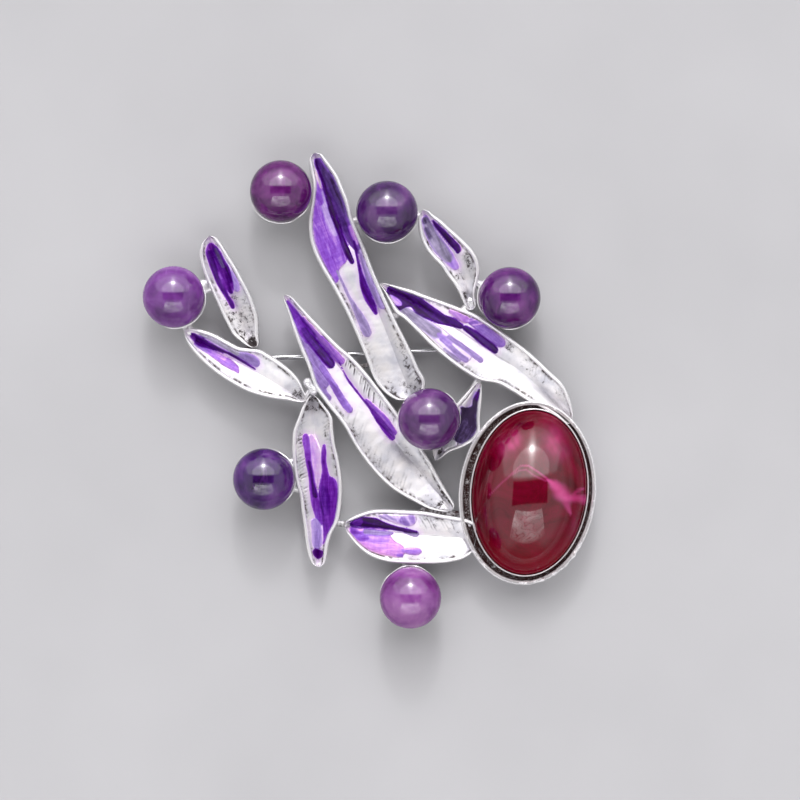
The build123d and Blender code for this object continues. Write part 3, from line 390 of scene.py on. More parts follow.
# bead: x, y, height of its centre above the usual
BEADS = {
    "bead_1": (-11.35, 25.81, 0.0),
    "bead_2": (2.32, 23.16, 0.0),
    "bead_3": (-25.16, 12.19, 0.0),
    "bead_4": (18.13, 12.06, 0.0),
    "bead_5": (7.74, -3.55, 1.1),
    "bead_6": (-13.55, -11.29, 0.0),
    "bead_7": (5.35, -26.58, 0.0),
}
BEAD_RADIUS = 4.0
BEAD_HEIGHT = 5.5
BEAD_RINGS, BEAD_SIDES = 73, 112
BEAD_POLE = 0.012
BEAD_SHRUNK = 0.9965
BEAD_GAP = 0.06
CUP_WALL = 0.35
CUP_LIP_DROP = 1.9
CUP_SIDES, CUP_OUTER_RINGS, CUP_INNER_RINGS = 144, 26, 22
CUP_POLE = 0.02
# Where a cup's lip stands out beyond its bead: direction and half width in degrees, and by how much
CUP_FLARES = {
    "bead_1": [(232, 38, 0.20), (275, 30, 0.17), (340, 40, 0.09)],
    "bead_2": [(165, 22, 0.09), (262, 45, 0.07), (345, 22, 0.17)],
    "bead_3": [(170, 60, 0.07), (275, 30, 0.14), (330, 50, 0.15)],
    "bead_4": [(175, 35, 0.22), (330, 45, 0.11), (270, 30, 0.12)],
    "bead_5": [(190, 45, 0.06), (20, 50, 0.10), (270, 40, 0.05)],
    "bead_6": [(5, 55, 0.18), (135, 25, 0.06)],
    "bead_7": [(90, 32, 0.18), (150, 20, 0.05)],
}

# bead, the place inside a leaf that its solder tab reaches, the tab's radius, and how flat it is (1 is round)
TABS = [
    ("bead_1", -6.10, 26.00, 0.55, 0.85),
    ("bead_2", -2.40, 21.90, 0.55, 0.85),
    ("bead_2", 7.10, 22.60, 0.55, 0.85),
    ("bead_3", -20.30, 13.90, 1.05, 0.45),
    ("bead_3", -23.30, 7.80, 0.75, 0.85),
    ("bead_4", 13.30, 14.30, 0.60, 0.85),
    ("bead_4", 16.10, 7.70, 0.60, 0.85),
    ("bead_6", -9.10, -8.60, 0.60, 0.85),
    ("bead_6", -8.60, -12.80, 0.55, 0.85),
    ("bead_7", 5.30, -21.60, 1.20, 0.45),
]
TAB_START, TAB_HEIGHT, TAB_DARK = 3.9, 3.2, 0.1

# Solder joints between neighbouring leaves and the bezel: x and y of each end, radius, height, how flat they
# are, how dark, and how strongly ridged
# Their darkness is tarnish, and painted shade on the joints set low in the gaps between leaves.
JOINTS = [
    (-7.15, 0.15, -7.90, 1.15, 0.64, 3.62, 1.00, 0.00, 0.0),
    (-7.55, 0.35, -8.35, -0.75, 0.36, 3.50, 1.00, 0.25, 0.0),
    (-4.60, -16.90, -2.95, -17.20, 0.50, 3.55, 1.00, 0.55, 1.0),
    (7.00, -15.35, 11.60, -15.85, 0.46, 3.45, 1.00, 0.85, 1.0),
    (13.60, -5.50, 14.90, -6.20, 0.60, 3.20, 0.80, 0.15, 0.3),
    (13.60, 0.40, 14.50, 2.20, 0.55, 3.30, 0.80, 0.10, 0.0),
    (-15.60, 5.30, -14.95, 6.80, 0.66, 2.55, 0.80, 0.70, 0.5),
    (-1.60, 3.05, 0.30, 3.60, 0.36, 2.90, 0.80, 0.75, 0.4),
    (12.30, 10.30, 13.20, 11.60, 0.72, 3.30, 0.80, 0.00, 0.0),
    (1.80, 12.90, 3.20, 12.50, 0.55, 3.10, 0.80, 0.40, 0.4),
    (3.45, 9.85, 4.05, 10.15, 0.50, 3.50, 1.00, 0.50, 0.6),
    (-7.20, -2.60, -5.40, -1.80, 0.60, 2.20, 0.80, 0.45, 0.4),
]
SOLDER_SIDES = 28
RIDGE_SPACING = 0.48
JOINT_SEED = 19

BEZEL_X, BEZEL_Y, BEZEL_TURN = 20.45, -13.10, -6.0
BEZEL_HALF_WIDTH, BEZEL_HALF_LENGTH = 8.85, 11.90
BEZEL_SIDES = 760
GRANULES = 84
SEAT_SHIFT_X, SEAT_SHIFT_Y = 0.25, 0.06
SEAT_NARROWER = 0.20
# Rings of the bezel: narrower by, height, share of the seat's own shift, grain, tarnish, polish, dark
# The polish also paints the lips near white, as a painted highlight.
BEZEL_PROFILE = [
    (8.0, 0.0, 0, 0, 0.3, 0, 0), (4.5, 0.0, 0, 0, 0.3, 0, 0), (1.2, 0.0, 0, 0, 0.3, 0, 0),
    (0.62, 0.0, 0, 0, 0.3, 0, 0), (0.52, 0.06, 0, 0, 0.3, 0, 0), (0.46, 0.5, 0, 0, 0.3, 0, 0),
    (0.38, 1.2, 0, 0.2, 0.3, 0, 0), (0.28, 2.1, 0, 0.3, 0.3, 0, 0), (0.18, 3.0, 0, 0.5, 0.3, 0, 0),
    (0.08, 3.8, 0, 0.8, 0.3, 0.3, 0), (0.02, 4.15, 0, 1, 0.3, 0.6, 0), (0.00, 4.32, 0, 1, 0.2, 1, 0),
    (0.04, 4.44, 0, 1, 0.3, 1, 0), (0.11, 4.52, 0, 1, 0.7, 0.7, 0), (0.19, 4.55, 0, 1, 1.1, 0.4, 0),
    (0.27, 4.56, 0, 1, 1.25, 0.3, 0.05), (0.36, 4.54, 0, 1, 1.1, 0.4, 0), (0.43, 4.49, 0, 1, 0.7, 0.7, 0),
    (0.49, 4.40, 0, 0.8, 0.3, 0.9, 0), (0.53, 4.24, 0.05, 0.4, 0.4, 0.2, 0.7),
    (0.57, 4.06, 0.15, 0.2, 0.5, 0, 1), (0.66, 3.95, 0.35, 0.3, 0.5, 0, 1),
    (0.77, 3.92, 0.55, 0.4, 0.5, 0, 1), (0.88, 3.96, 0.75, 0.3, 0.5, 0, 1),
    (0.98, 4.12, 0.95, 0.1, 0.4, 0, 0.9), (1.00, 4.27, 1, 0.05, 0, 1, 0.1), (1.05, 4.36, 1, 0, 0, 1, 0),
    (1.11, 4.38, 1, 0, 0, 1, 0), (1.17, 4.34, 1, 0, 0, 1, 0), (1.20, 4.18, 1, 0, 0.8, 0, 0.8),
    (1.21, 3.0, 1, 0, 0.8, 0, 0.8), (1.22, 1.64, 1, 0, 0.8, 0, 0.8), (2.2, 1.60, 1, 0, 0.8, 0, 0.3),
    (5.0, 1.60, 1, 0, 0.8, 0, 0.3), (7.6, 1.60, 1, 0, 0.8, 0, 0.3),
]
# The rings that carry granules, by how much narrower they are
GRANULE_RINGS = (0.65, 0.90)

STONE_HALF_WIDTH, STONE_HALF_LENGTH = 7.40, 10.62
STONE_FOOT, STONE_GIRDLE_TOP = 1.65, 4.2
STONE_SIDES = 200
# The dome is the cap of a taller oval: that oval's height, and the share of its width that the cap takes
STONE_CURVE, STONE_CAP = 9.0, 0.9606
# Veins in the cabochon: strength, then rows of x, y and half width; places are from its middle
VEINS = [
    (1.00, [(2.0, 1.85, 0.12), (2.5, 1.5, 0.34), (3.0, 1.05, 0.66), (3.8, 0.15, 1.00), (4.6, -0.6, 0.82),
            (5.3, -0.55, 0.50), (6.1, -0.6, 0.50), (7.2, -0.9, 0.60)]),
    (0.62, [(4.3, -0.8, 0.60), (4.7, -1.6, 0.46), (5.0, -2.2, 0.30), (5.2, -2.7, 0.16)]),
    (0.60, [(5.4, -0.2, 0.30), (6.0, 0.3, 0.24), (6.9, 0.5, 0.20)]),
    (0.52, [(2.3, 1.7, 0.16), (1.4, 2.4, 0.14), (0.6, 2.95, 0.13), (-0.3, 3.5, 0.13), (-1.3, 3.5, 0.12)]),
    (0.34, [(-1.3, 3.5, 0.12), (-2.3, 2.7, 0.11), (-3.8, 1.25, 0.10), (-5.3, -0.3, 0.09)]),
    (0.30, [(1.9, 1.7, 0.14), (0.4, 2.3, 0.12), (-0.6, 3.0, 0.11), (-1.6, 2.9, 0.10), (-2.4, 2.4, 0.08)]),
]
# Cloudy patches: x, y, reach along x, reach along y, strength
CLOUDS = [
    (-1.8, 6.9, 0.60, 0.90, 0.80), (-2.5, 6.1, 0.70, 0.80, 0.80), (-3.3, 5.8, 0.70, 1.10, 0.45),
    (3.0, 6.6, 1.30, 1.90, 0.60), (3.9, 5.3, 1.10, 1.20, 0.40), (5.7, -4.4, 0.5, 1.4, 0.20),
]

PIN_HEIGHT, PIN_TURN, HINGE_X, HINGE_Y = 1.4, 2.65, -16.65, 4.19
LUG_RADIUS, LUG_TOP, LUG_CREST = 1.4, 3.1, 3.16
LUG_INNER, LUG_OUTER, LUG_ROUNDING = 0.55, 1.25, 0.08
# The rivet's profile: place along it, and radius
RIVET_PROFILE = [
    (-1.46, 0.03), (-1.45, 0.30), (-1.38, 0.50), (-1.26, 0.56), (-1.25, 0.44),
    (1.25, 0.44), (1.26, 0.56), (1.38, 0.50), (1.45, 0.30), (1.46, 0.03),
]
RIVET_SIDES = 32
CATCH_ALONG = 30.4
CATCH_OUTER, CATCH_INNER, CATCH_MIDDLE = 1.47, 0.85, 1.16
CATCH_HALF_MOUTH, CATCH_HALF_FOOT, CATCH_TOP = 0.45, 0.62, 3.02
# The catch's strip is thinner at its edges: place along the pin, and thickness
CATCH_STEPS = [(-1.2, 0.94), (-1.12, 1.0), (0.0, 1.0), (1.12, 1.0), (1.2, 0.94)]
CATCH_POINTS = 56

# The camera looks straight down; VIEW_WIDTH is what it sees at the height of VIEW_PLANE
CAMERA_X, CAMERA_Y, CAMERA_HEIGHT = 4.0, -1.1, 455.0
VIEW_PLANE, VIEW_WIDTH = 4.8, 103.2
SENSOR = 36.0
FLOOR_REACH = 0.9

# The tent: how brightly its roof, its back wall and the arch in that wall glow
TENT_GLOW, WALL_GLOW, ARCH_GLOW = 0.56, 0.71, 1.10
EDGE_GLOW = 0.40
TENT_COLOUR = (1.0, 0.995, 1.0, 1.0)
# Directions from the brooch, each from, to and softness: the dark opening overhead, and the lit back wall,
# which goes from beside the opening down to the floor
OPENING_X, OPENING_Y, OPENING_Z = (-0.64, 0.64, 0.03), (-0.23, 0.24, 0.03), (0.2, 3.0, 0.02)
WALL_X, WALL_Y = (-0.88, 0.88, 0.06), (0.24, 3.0, 0.10)
OPENING_DARK = 0.93
# The arch: half width, height, and how far above the lamp it starts. The front: where it falls off, and to
# what
ARCH_WIDE, ARCH_TALL, ARCH_RAISED = 0.66, 0.30, 0.23
FRONT_DIM, FRONT_CLEAR, FRONT_GLOW = -0.92, -0.78, 0.45
LAMP_TILT, LAMP_DISTANCE, LAMP_WIDTH, LAMP_RADIANCE = 52, 0.57, 0.045, 45.0
# The height in metres that the lights are aimed at
AIM_HEIGHT = 0.005
# The lamp shining through the tent's wall: half width, half height and strength of each glow
LAMP_GLOWS = [
    (0.55, 0.60, 0.6), (0.36, 0.40, 1.8), (0.18, 0.75, 2.4),
    (0.45, 0.12, 1.8), (0.22, 0.24, 4.5), (0.14, 0.14, 9.0),
]
# A creased sheet in front of the brooch: outline in metres, tilt, distance, dimmest and brightest glow
PANEL_OUTLINE = [(-0.46, -0.24), (0.46, -0.24), (0.36, 0.24), (-0.36, 0.24)]
PANEL_TILT, PANEL_DISTANCE, PANEL_DIM, PANEL_BRIGHT = -42, 0.62, 1.9, 3.8
PANEL_STRETCH, PANEL_FOLDS = (0.8, 1.8, 1.0), 3.0


def srgb(red, green, blue):
    """A colour from its 0 to 255 screen values."""
    channels = [c / 255 for c in (red, green, blue)]
    return (*[c / 12.92 if c <= 0.04045 else ((c + 0.055) / 1.055) ** 2.4 for c in channels], 1.0)


def curve(places, values, at):
    """A smooth curve through values at places, read at any places between them."""
    slopes = np.gradient(values, places)
    at = np.clip(at, places[0], places[-1])
    k = np.clip(np.searchsorted(places, at, side="right") - 1, 0, len(places) - 2)
    gap = places[k + 1] - places[k]
    t = (at - places[k]) / gap
    near = (1 + 2 * t) * (1 - t) ** 2 * values[k] + t * (1 - t) ** 2 * gap * slopes[k]
    far = t * t * (3 - 2 * t) * values[k + 1] - t * t * (1 - t) * gap * slopes[k + 1]
    return near + far


def smoothstep(low, high, value):
    t = np.clip((value - low) / (high - low), 0, 1)
    return t * t * (3 - 2 * t)


def soft_range(low, high, soft, value):
    """1 between low and high and 0 beyond them, with soft borders."""
    return smoothstep(low - soft, low + soft, value) * smoothstep(-high - soft, -high + soft, -value)


def ripple(x, y, wavelength, seed):
    """Soft irregular waves over a plane, from -1 to 1."""
    total = 0
    for k in range(6):
        turn = seed * 1.7 + k * 2.399
        length = wavelength * (0.7 + 0.22 * k)
        along = x * math.cos(turn) + y * math.sin(turn)
        total = total + np.sin(2 * math.pi * along / length + seed * 3.1 + k)
    return total / 6


def around(sides):
    return np.linspace(0, 2 * math.pi, sides, endpoint=False)


def place_all(points):
    """Drawing places as places in the frame, in metres."""
    return (np.asarray(points, float) + np.array([SHIFT_X, SHIFT_Y, 0.0])) * MM


def make_mesh(name, points, faces, smooth_angle, attributes=None, uv=None):
    """A closed piece with smooth faces turned outward; an attribute is one value, or one for every point."""
    mesh = bpy.data.meshes.new(name)
    mesh.from_pydata(place_all(points).tolist(), [], [tuple(f) for f in faces])
    for key, values in (attributes or {}).items():
        layer = mesh.attributes.new(key, "FLOAT", "POINT")
        values = np.asarray(values, np.float32).ravel()
        layer.data.foreach_set("value", np.ones(len(points), np.float32) * values)
    if uv is not None:
        loops = np.zeros(len(mesh.loops), np.int32)
        mesh.loops.foreach_get("vertex_index", loops)
        layer = mesh.uv_layers.new(name="place")
        layer.data.foreach_set("uv", np.asarray(uv, np.float32)[loops].ravel())
    mesh.validate(clean_customdata=False)
    mesh.polygons.foreach_set("use_smooth", np.ones(len(mesh.polygons), bool))
    mesh.set_sharp_from_angle(angle=math.radians(smooth_angle))
    mesh.update()
    work = bmesh.new()
    work.from_mesh(mesh)
    bmesh.ops.recalc_face_normals(work, faces=work.faces[:])
    work.to_mesh(mesh)
    work.free()
    piece = bpy.data.objects.new(name, mesh)
    bpy.context.scene.collection.objects.link(piece)
    return piece


def add(piece, material, body="frame", nodes=()):
    piece.data.materials.append(material)
    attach(piece, body)
    if nodes:
        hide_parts(*nodes)
    return piece


def tube_faces(rows, columns):
    """Faces between rings of points, with both ends closed."""
    faces = []
    for r in range(rows - 1):
        for c in range(columns):
            d = (c + 1) % columns
            faces.append((r * columns + c, r * columns + d, (r + 1) * columns + d, (r + 1) * columns + c))
    faces.append(tuple(range(columns))[::-1])
    faces.append(tuple(range((rows - 1) * columns, rows * columns)))
    return faces


def drop_slivers(faces, points):
    """Leave out the faces that are next to nothing when seen from above."""
    kept = []
    for face in faces:
        corner = points[list(face)]
        area = 0.5 * abs(sum(corner[k - 1][0] * corner[k][1] - corner[k][0] * corner[k - 1][1]
                             for k in range(len(face))))
        if area > SMALLEST_FACE:
            kept.append(face)
    return kept


def by_column(values, top_columns, columns, under=0.0):
    """Values from a leaf's edge inwards, the same from both of its edges, and one value for its underside."""
    row = np.full(columns, under)
    row[:top_columns] = 0
    row[:len(values)] = values
    row[top_columns - len(values): top_columns] = values[::-1]
    return row


class Leaf:
    """A folded leaf: along is a share of its length, across is in millimetres to the left of its midline."""

    def __init__(self, name):
        x, y, tip_x, tip_y, self.width, self.base_rim, self.tip_rim, self.arch = LEAVES[name]
        self.name = name
        self.seed = list(LEAVES).index(name) + 1
        self.base = (x, y)
        self.run = (tip_x - x, tip_y - y)
        self.length = math.hypot(*self.run)
        self.left = (-self.run[1] / self.length, self.run[0] / self.length)
        self.rows = np.array(SECTIONS[name])
        self.first, self.last = self.rows[0, 0], self.rows[-1, 0]

    def place(self, along, across, height):
        x = self.base[0] + along * self.run[0] + across * self.left[0]
        y = self.base[1] + along * self.run[1] + across * self.left[1]
        return np.stack([x, y, height], axis=-1).reshape(-1, 3)

    def flat(self, along, across):
        """Places on the leaf laid flat, in millimetres."""
        return np.stack([along * self.length, across], axis=-1).reshape(-1, 2)

    def edges(self, along):
        """Left edge, right edge and fold, with round ends."""
        left, right, fold = [curve(self.rows[:, 0], self.rows[:, k] * self.width, along) for k in (1, 2, 3)]
        nearest = np.minimum(along - self.first, self.last - along) * self.length
        short = 1 - np.clip(nearest / TIP_ROUNDING, 0.003, 1)
        share = np.sqrt(1 - short**2)
        middle = (left + right) / 2
        margin = 0.2 * (left - right)
        fold = np.clip(fold, right + margin, left - margin)
        return [middle + (value - middle) * share for value in (left, right, fold)]

    def heights(self, along):
        """Rim top, floor beside the rim, floor at the fold, and the share to which a narrow edge shrinks."""
        left, right, fold = self.edges(along)
        half = np.minimum(left - fold, fold - right)
        top = self.base_rim + (self.tip_rim - self.base_rim) * along + self.arch * 4 * along * (1 - along)
        floor = top - EDGE_STEP * np.clip(half / STEP_HALF_WIDTH, 0, 1)
        deep = floor - FOLD_DEPTH * np.clip(half / FOLD_HALF_WIDTH, 0, 1)
        return top, floor, deep, np.clip(half / EDGE_HALF_WIDTH, 0, 1)

    def floor_height(self, along, across):
        left, right, fold = self.edges(along)
        _, floor, deep, shrink = self.heights(along)
        inset = EDGE_INSET * shrink
        reach = np.where(across > fold, left - inset - fold, fold - right - inset)
        q = np.clip(np.abs(across - fold) / np.maximum(reach, 0.05), 0, 1)
        return deep + (floor - deep) * (q + FLOOR_BULGE * np.sin(math.pi * q))

    def patches(self, boxes, along, across):
        """The strongest of some patches with soft borders."""
        best = np.zeros(np.shape(along))
        share = across / self.width
        for start, end, low, high, strength in boxes:
            inside = soft_range(start, end, SOFT_ALONG, along) * soft_range(low, high, SOFT_ACROSS, share)
            best = np.maximum(best, inside * strength)
        return best

    def grooves(self, along, across):
        """How deep each place lies in the grooves cut in from the rim, from 0 to 1."""
        total = np.zeros(np.shape(along))
        left, right, fold = self.edges(along)
        aside = np.abs(across - fold)
        reach = np.where(across > fold, left - fold, fold - right)
        outward = np.clip(aside / np.maximum(reach, 0.1), 0, 1)
        x = along * self.length
        wander = 0.14 * ripple(x, across, 2.3, self.seed + 5)
        broken = np.clip(0.75 + 0.5 * ripple(x, across * 1.3, 0.9, self.seed + 9), 0.2, 1)
        for *box, spacing, lean, strength in GROOVES[self.name]:
            mask = self.patches([(*box, strength)], along, across)
            phase = (x + lean * aside + wander) / spacing
            number = np.round(phase)
            chance, cut = [np.mod(np.sin(number * by_number + self.seed * by_seed) * wave, 1)
                           for by_number, by_seed, wave in (GROOVE_STRENGTHS, GROOVE_LENGTHS)]
            line = np.clip(0.5 + 0.5 * np.cos(2 * math.pi * phase), 0, 1) ** 2
            long_enough = smoothstep(0.75 - 0.7 * cut, 0.95 - 0.7 * cut, outward)
            total = np.maximum(total, mask * line * long_enough * broken * (0.30 + 0.70 * chance))
        return total

    def layer_distance(self, rows, along, across):
        """Signed distance in millimetres to a layer of enamel, negative inside; its ends are round."""
        rows = np.array(rows)
        low = curve(rows[:, 0], rows[:, 1] * self.width, along)
        high = curve(rows[:, 0], rows[:, 2] * self.width, along)
        middle, half = (low + high) / 2, (high - low) / 2
        for place, row in ((along - rows[0, 0], rows[0]), (rows[-1, 0] - along, rows[-1])):
            radius = max(0.12, (row[2] - row[1]) / 2 * self.width)
            short = 1 - np.clip(place * self.length / radius, 0, 1)
            half = half * np.sqrt(np.clip(1 - short**2, 0, 1))
        aside = np.abs(across - middle) - half
        beyond = np.maximum(rows[0, 0] - along, along - rows[-1, 0]) * self.length
        return np.where(beyond > 0, np.hypot(np.maximum(aside, 0), np.maximum(beyond, 0)), aside)

    def enamel_at(self, along, across):
        """Distance to the edge of all the enamel, its tone and its pinkness."""
        edge, tone, pink = [np.full(np.shape(along), value) for value in (ENAMEL_FAR, BARE_TONE, BARE_PINK)]
        wobble = 0.05 * ripple(along * self.length, across, 1.6, self.seed)
        for shade, rose, blur, rows in ENAMEL[self.name]:
            distance = self.layer_distance(rows, along, across) + wobble
            edge = np.minimum(edge, distance)
            over = smoothstep(-blur, blur, -distance)
            tone = tone + (shade - tone) * over
            pink = pink + (rose - pink) * over
        left, right, _ = self.edges(along)
        inset = ENAMEL_INSET * self.heights(along)[3]
        edge = np.maximum(edge, np.maximum(across - (left - inset), (right + inset) - across))
        return edge, tone, pink

    def stations(self):
        """Places along the leaf, closer together at its round ends."""
        ends = TIP_ROUNDING * (1 - np.cos(np.linspace(0.08, math.pi / 2, 9))) / self.length
        rounding = TIP_ROUNDING / self.length
        inner = np.arange(self.first + rounding, self.last - rounding, ROW_STEP / self.length)
        return np.concatenate([self.first + ends[:-1], inner, (self.last - ends)[::-1]])

    def build(self, material):
        """The leaf as rings from its left edge over the top to its right edge, and back below."""
        along = self.stations()[:, None]
        left, right, fold = self.edges(along)
        top, _, deep, shrink = self.heights(along)
        inward, drop = np.array(EDGE_PROFILE).T
        inward = inward * shrink
        inset = inward[:, -1:]
        sunk = np.clip(np.minimum(left - fold, fold - right) / STEP_HALF_WIDTH, 0, 1)
        rim_height = top - np.where(np.arange(EDGE_COLUMNS) < EDGE_OUTSIDE, drop, drop * sunk)
        spread = np.linspace(0, 1, FLOOR_COLUMNS + 1)[1:]
        left_floor = (left - inset) + (fold - left + inset) * spread
        right_floor = (right + inset) + (fold - right - inset) * spread[:-1]
        across = np.hstack([left - inward, left_floor, right_floor[:, ::-1], (right + inward)[:, ::-1]])
        rows = np.broadcast_to(along, across.shape)
        floor = slice(EDGE_COLUMNS, -EDGE_COLUMNS)
        cut = np.zeros(across.shape)
        cut[:, floor] = self.grooves(rows[:, floor], across[:, floor])
        floor_height = self.floor_height(rows[:, floor], across[:, floor])
        height = np.hstack([rim_height, floor_height, rim_height[:, ::-1]])
        for size, wavelength, shift in LEAF_WAVES:
            wave = ripple(rows * self.length, across, wavelength, self.seed + shift)
            height[:, 2:-2] += size * wave[:, 2:-2]
        height -= GROOVE_DEPTH * cut

        bottom = top - drop[0]
        under = np.linspace(0, 1, UNDER_COLUMNS + 2)[1:]
        under_height = bottom + (np.minimum(deep - FLOOR_THICKNESS, bottom) - bottom) * under
        right_under, left_under = [side + (fold - side) * under for side in (right, left)]
        top_columns = across.shape[1]
        across = np.hstack([across, right_under, left_under[:, -2::-1]])
        height = np.hstack([height, under_height, under_height[:, -2::-1]])
        columns = across.shape[1]
        rows = np.broadcast_to(along, across.shape)
        x = rows * self.length

        tarnish = self.patches(TARNISH[self.name], rows, across)
        tarnish = np.maximum(tarnish, by_column(TARNISH_BY_COLUMN, top_columns, columns, UNDER_TARNISH))
        stretches = smoothstep(-0.30, 0.20, ripple(x, across, 4.2, self.seed + 2))
        stretches = stretches * smoothstep(-0.5, 0.3, ripple(x, across, 0.7, self.seed + 6))
        dark = by_column(DARK_BY_COLUMN, top_columns, columns) * stretches
        # the outer walls, under the rim's edge, get painted shade
        dark[:, [0, 1, top_columns - 2, top_columns - 1]] = OUTER_DARK
        wash = smoothstep(-0.9, 0.05, -self.enamel_at(rows, across)[0]) * 0.5
        wash[:, :EDGE_COLUMNS - 2] = 0
        wash[:, top_columns - EDGE_COLUMNS + 2:] = 0
        values = {
            "tarnish": tarnish,
            "groove": np.pad(cut, ((0, 0), (0, columns - top_columns))),
            "wash": wash,
            "rim": np.broadcast_to(by_column(POLISH_AND_HIGHLIGHT_BY_COLUMN, top_columns, columns), across.shape),
            "dark": dark,
            "shade": self.patches(SHADES[self.name], rows, across),
        }
        points = self.place(rows, across, height)
        piece = make_mesh("leaf_" + self.name, points, tube_faces(len(along), columns), 50, values,
                          self.flat(rows, across))
        return add(piece, material)

    def build_enamel(self, material):
        """A thin pool of enamel on the floor, with a round shoulder at its edge."""
        starts, ends = zip(*[(rows[0][0], rows[-1][0]) for *_, rows in ENAMEL[self.name]])
        end = min(max(ends) + 0.02, self.last - 0.004)
        along = np.arange(min(starts) - 0.02, end, ENAMEL_STEP / self.length)
        left, right, _ = self.edges(along)
        across = np.arange(right.min() - 0.1, left.max() + 0.1, ENAMEL_STEP)
        u, v = np.meshgrid(along, across, indexing="ij")
        # points close to the enamel's edge are moved onto it
        edge = self.enamel_at(u, v)[0]
        slope_u, slope_v = np.gradient(edge, ENAMEL_STEP, ENAMEL_STEP)
        steep = np.maximum(slope_u**2 + slope_v**2, 0.3)
        near = np.abs(edge) < 0.75 * ENAMEL_STEP
        u = np.where(near, u - edge * slope_u / steep / self.length, u)
        v = np.where(near, v - edge * slope_v / steep, v)
        keep = ((edge < 0) | near).ravel()
        edge, tone, pink = self.enamel_at(u, v)
        inside = np.clip(-edge / ENAMEL_SHOULDER, 0, 1)
        film = np.where(near, 0.0, ENAMEL_THICKNESS * np.sqrt(1 - (1 - inside) ** 2))
        floor = self.floor_height(u, v)
        high = self.place(u, v, floor + ENAMEL_LIFT + film)
        low = self.place(u, v, floor - ENAMEL_SUNK)

        numbers = np.arange(u.size).reshape(u.shape)
        corners = [numbers[:-1, :-1], numbers[1:, :-1], numbers[1:, 1:], numbers[:-1, 1:]]
        corners = np.stack([corner.ravel() for corner in corners], axis=1)
        count = keep[corners].sum(axis=1)
        faces = [tuple(f) for f in corners[count == 4].tolist()]
        for quad in corners[count == 3]:
            faces.append(tuple(int(k) for k in quad if keep[k]))
        faces = drop_slivers(faces, high)
        directed = dict.fromkeys(pair for face in faces for pair in zip(face, face[1:] + face[:1]))
        border = [(p, q) for p, q in directed if (q, p) not in directed]
        used = sorted({k for face in faces for k in face})
        index = {k: n for n, k in enumerate(used)}
        total = len(used)
        top_faces = [tuple(index[k] for k in face) for face in faces]
        bottom_faces = [tuple(total + k for k in face[::-1]) for face in top_faces]
        sides = [(index[q], index[p], total + index[p], total + index[q]) for p, q in border]
        values = {"tone": tone, "pink": pink, "groove": self.grooves(u, v), "thick": film / ENAMEL_THICKNESS}
        values = {key: np.tile(value.ravel()[used], 2) for key, value in values.items()}
        piece = make_mesh("enamel_on_" + self.name, np.vstack([high[used], low[used]]),
                          top_faces + bottom_faces + sides, 60, values,
                          np.tile(self.flat(u, v)[used], (2, 1)))
        return add(piece, material, "frame", ["enamel_" + self.name])


def lathe(profile, sides, shape=None):
    """Points of a turned profile of radius and height, which shape can change by angle."""
    angles = around(sides)[None, :]
    radius, height = [np.array(column)[:, None] * np.ones_like(angles) for column in zip(*profile)]
    if shape:
        radius, height = shape(radius, height, angles)
    return np.stack([radius * np.cos(angles), radius * np.sin(angles), height], axis=-1).reshape(-1, 3)


def ball_profile(radius, start, end, rings):
    """Radius and height on a ball, by the angle from its lowest place."""
    return [(radius * math.sin(t), -radius * math.cos(t)) for t in np.linspace(start, end, rings)]


def bead_centre(name):
    x, y, raised = BEADS[name]
    return np.array([x, y, BEAD_HEIGHT + raised])


def build_bead(name, material):
    """A hand ground ball, a little out of round."""
    seed = list(BEADS).index(name) + 1
    points = lathe(ball_profile(BEAD_RADIUS, BEAD_POLE, math.pi - BEAD_POLE, BEAD_RINGS), BEAD_SIDES)
    x, y, z = points.T
    swell = 0.012 * ripple(x + 0.6 * z, y - 0.4 * z, 5.5, seed) + 0.004 * ripple(x - z, y + z, 2.4, seed + 4)
    points = points * (BEAD_SHRUNK + swell / BEAD_RADIUS)[:, None] + bead_centre(name)
    piece = make_mesh(name + "_stone", points, tube_faces(BEAD_RINGS, BEAD_SIDES), 80)
    return add(piece, material, "frame", [name])


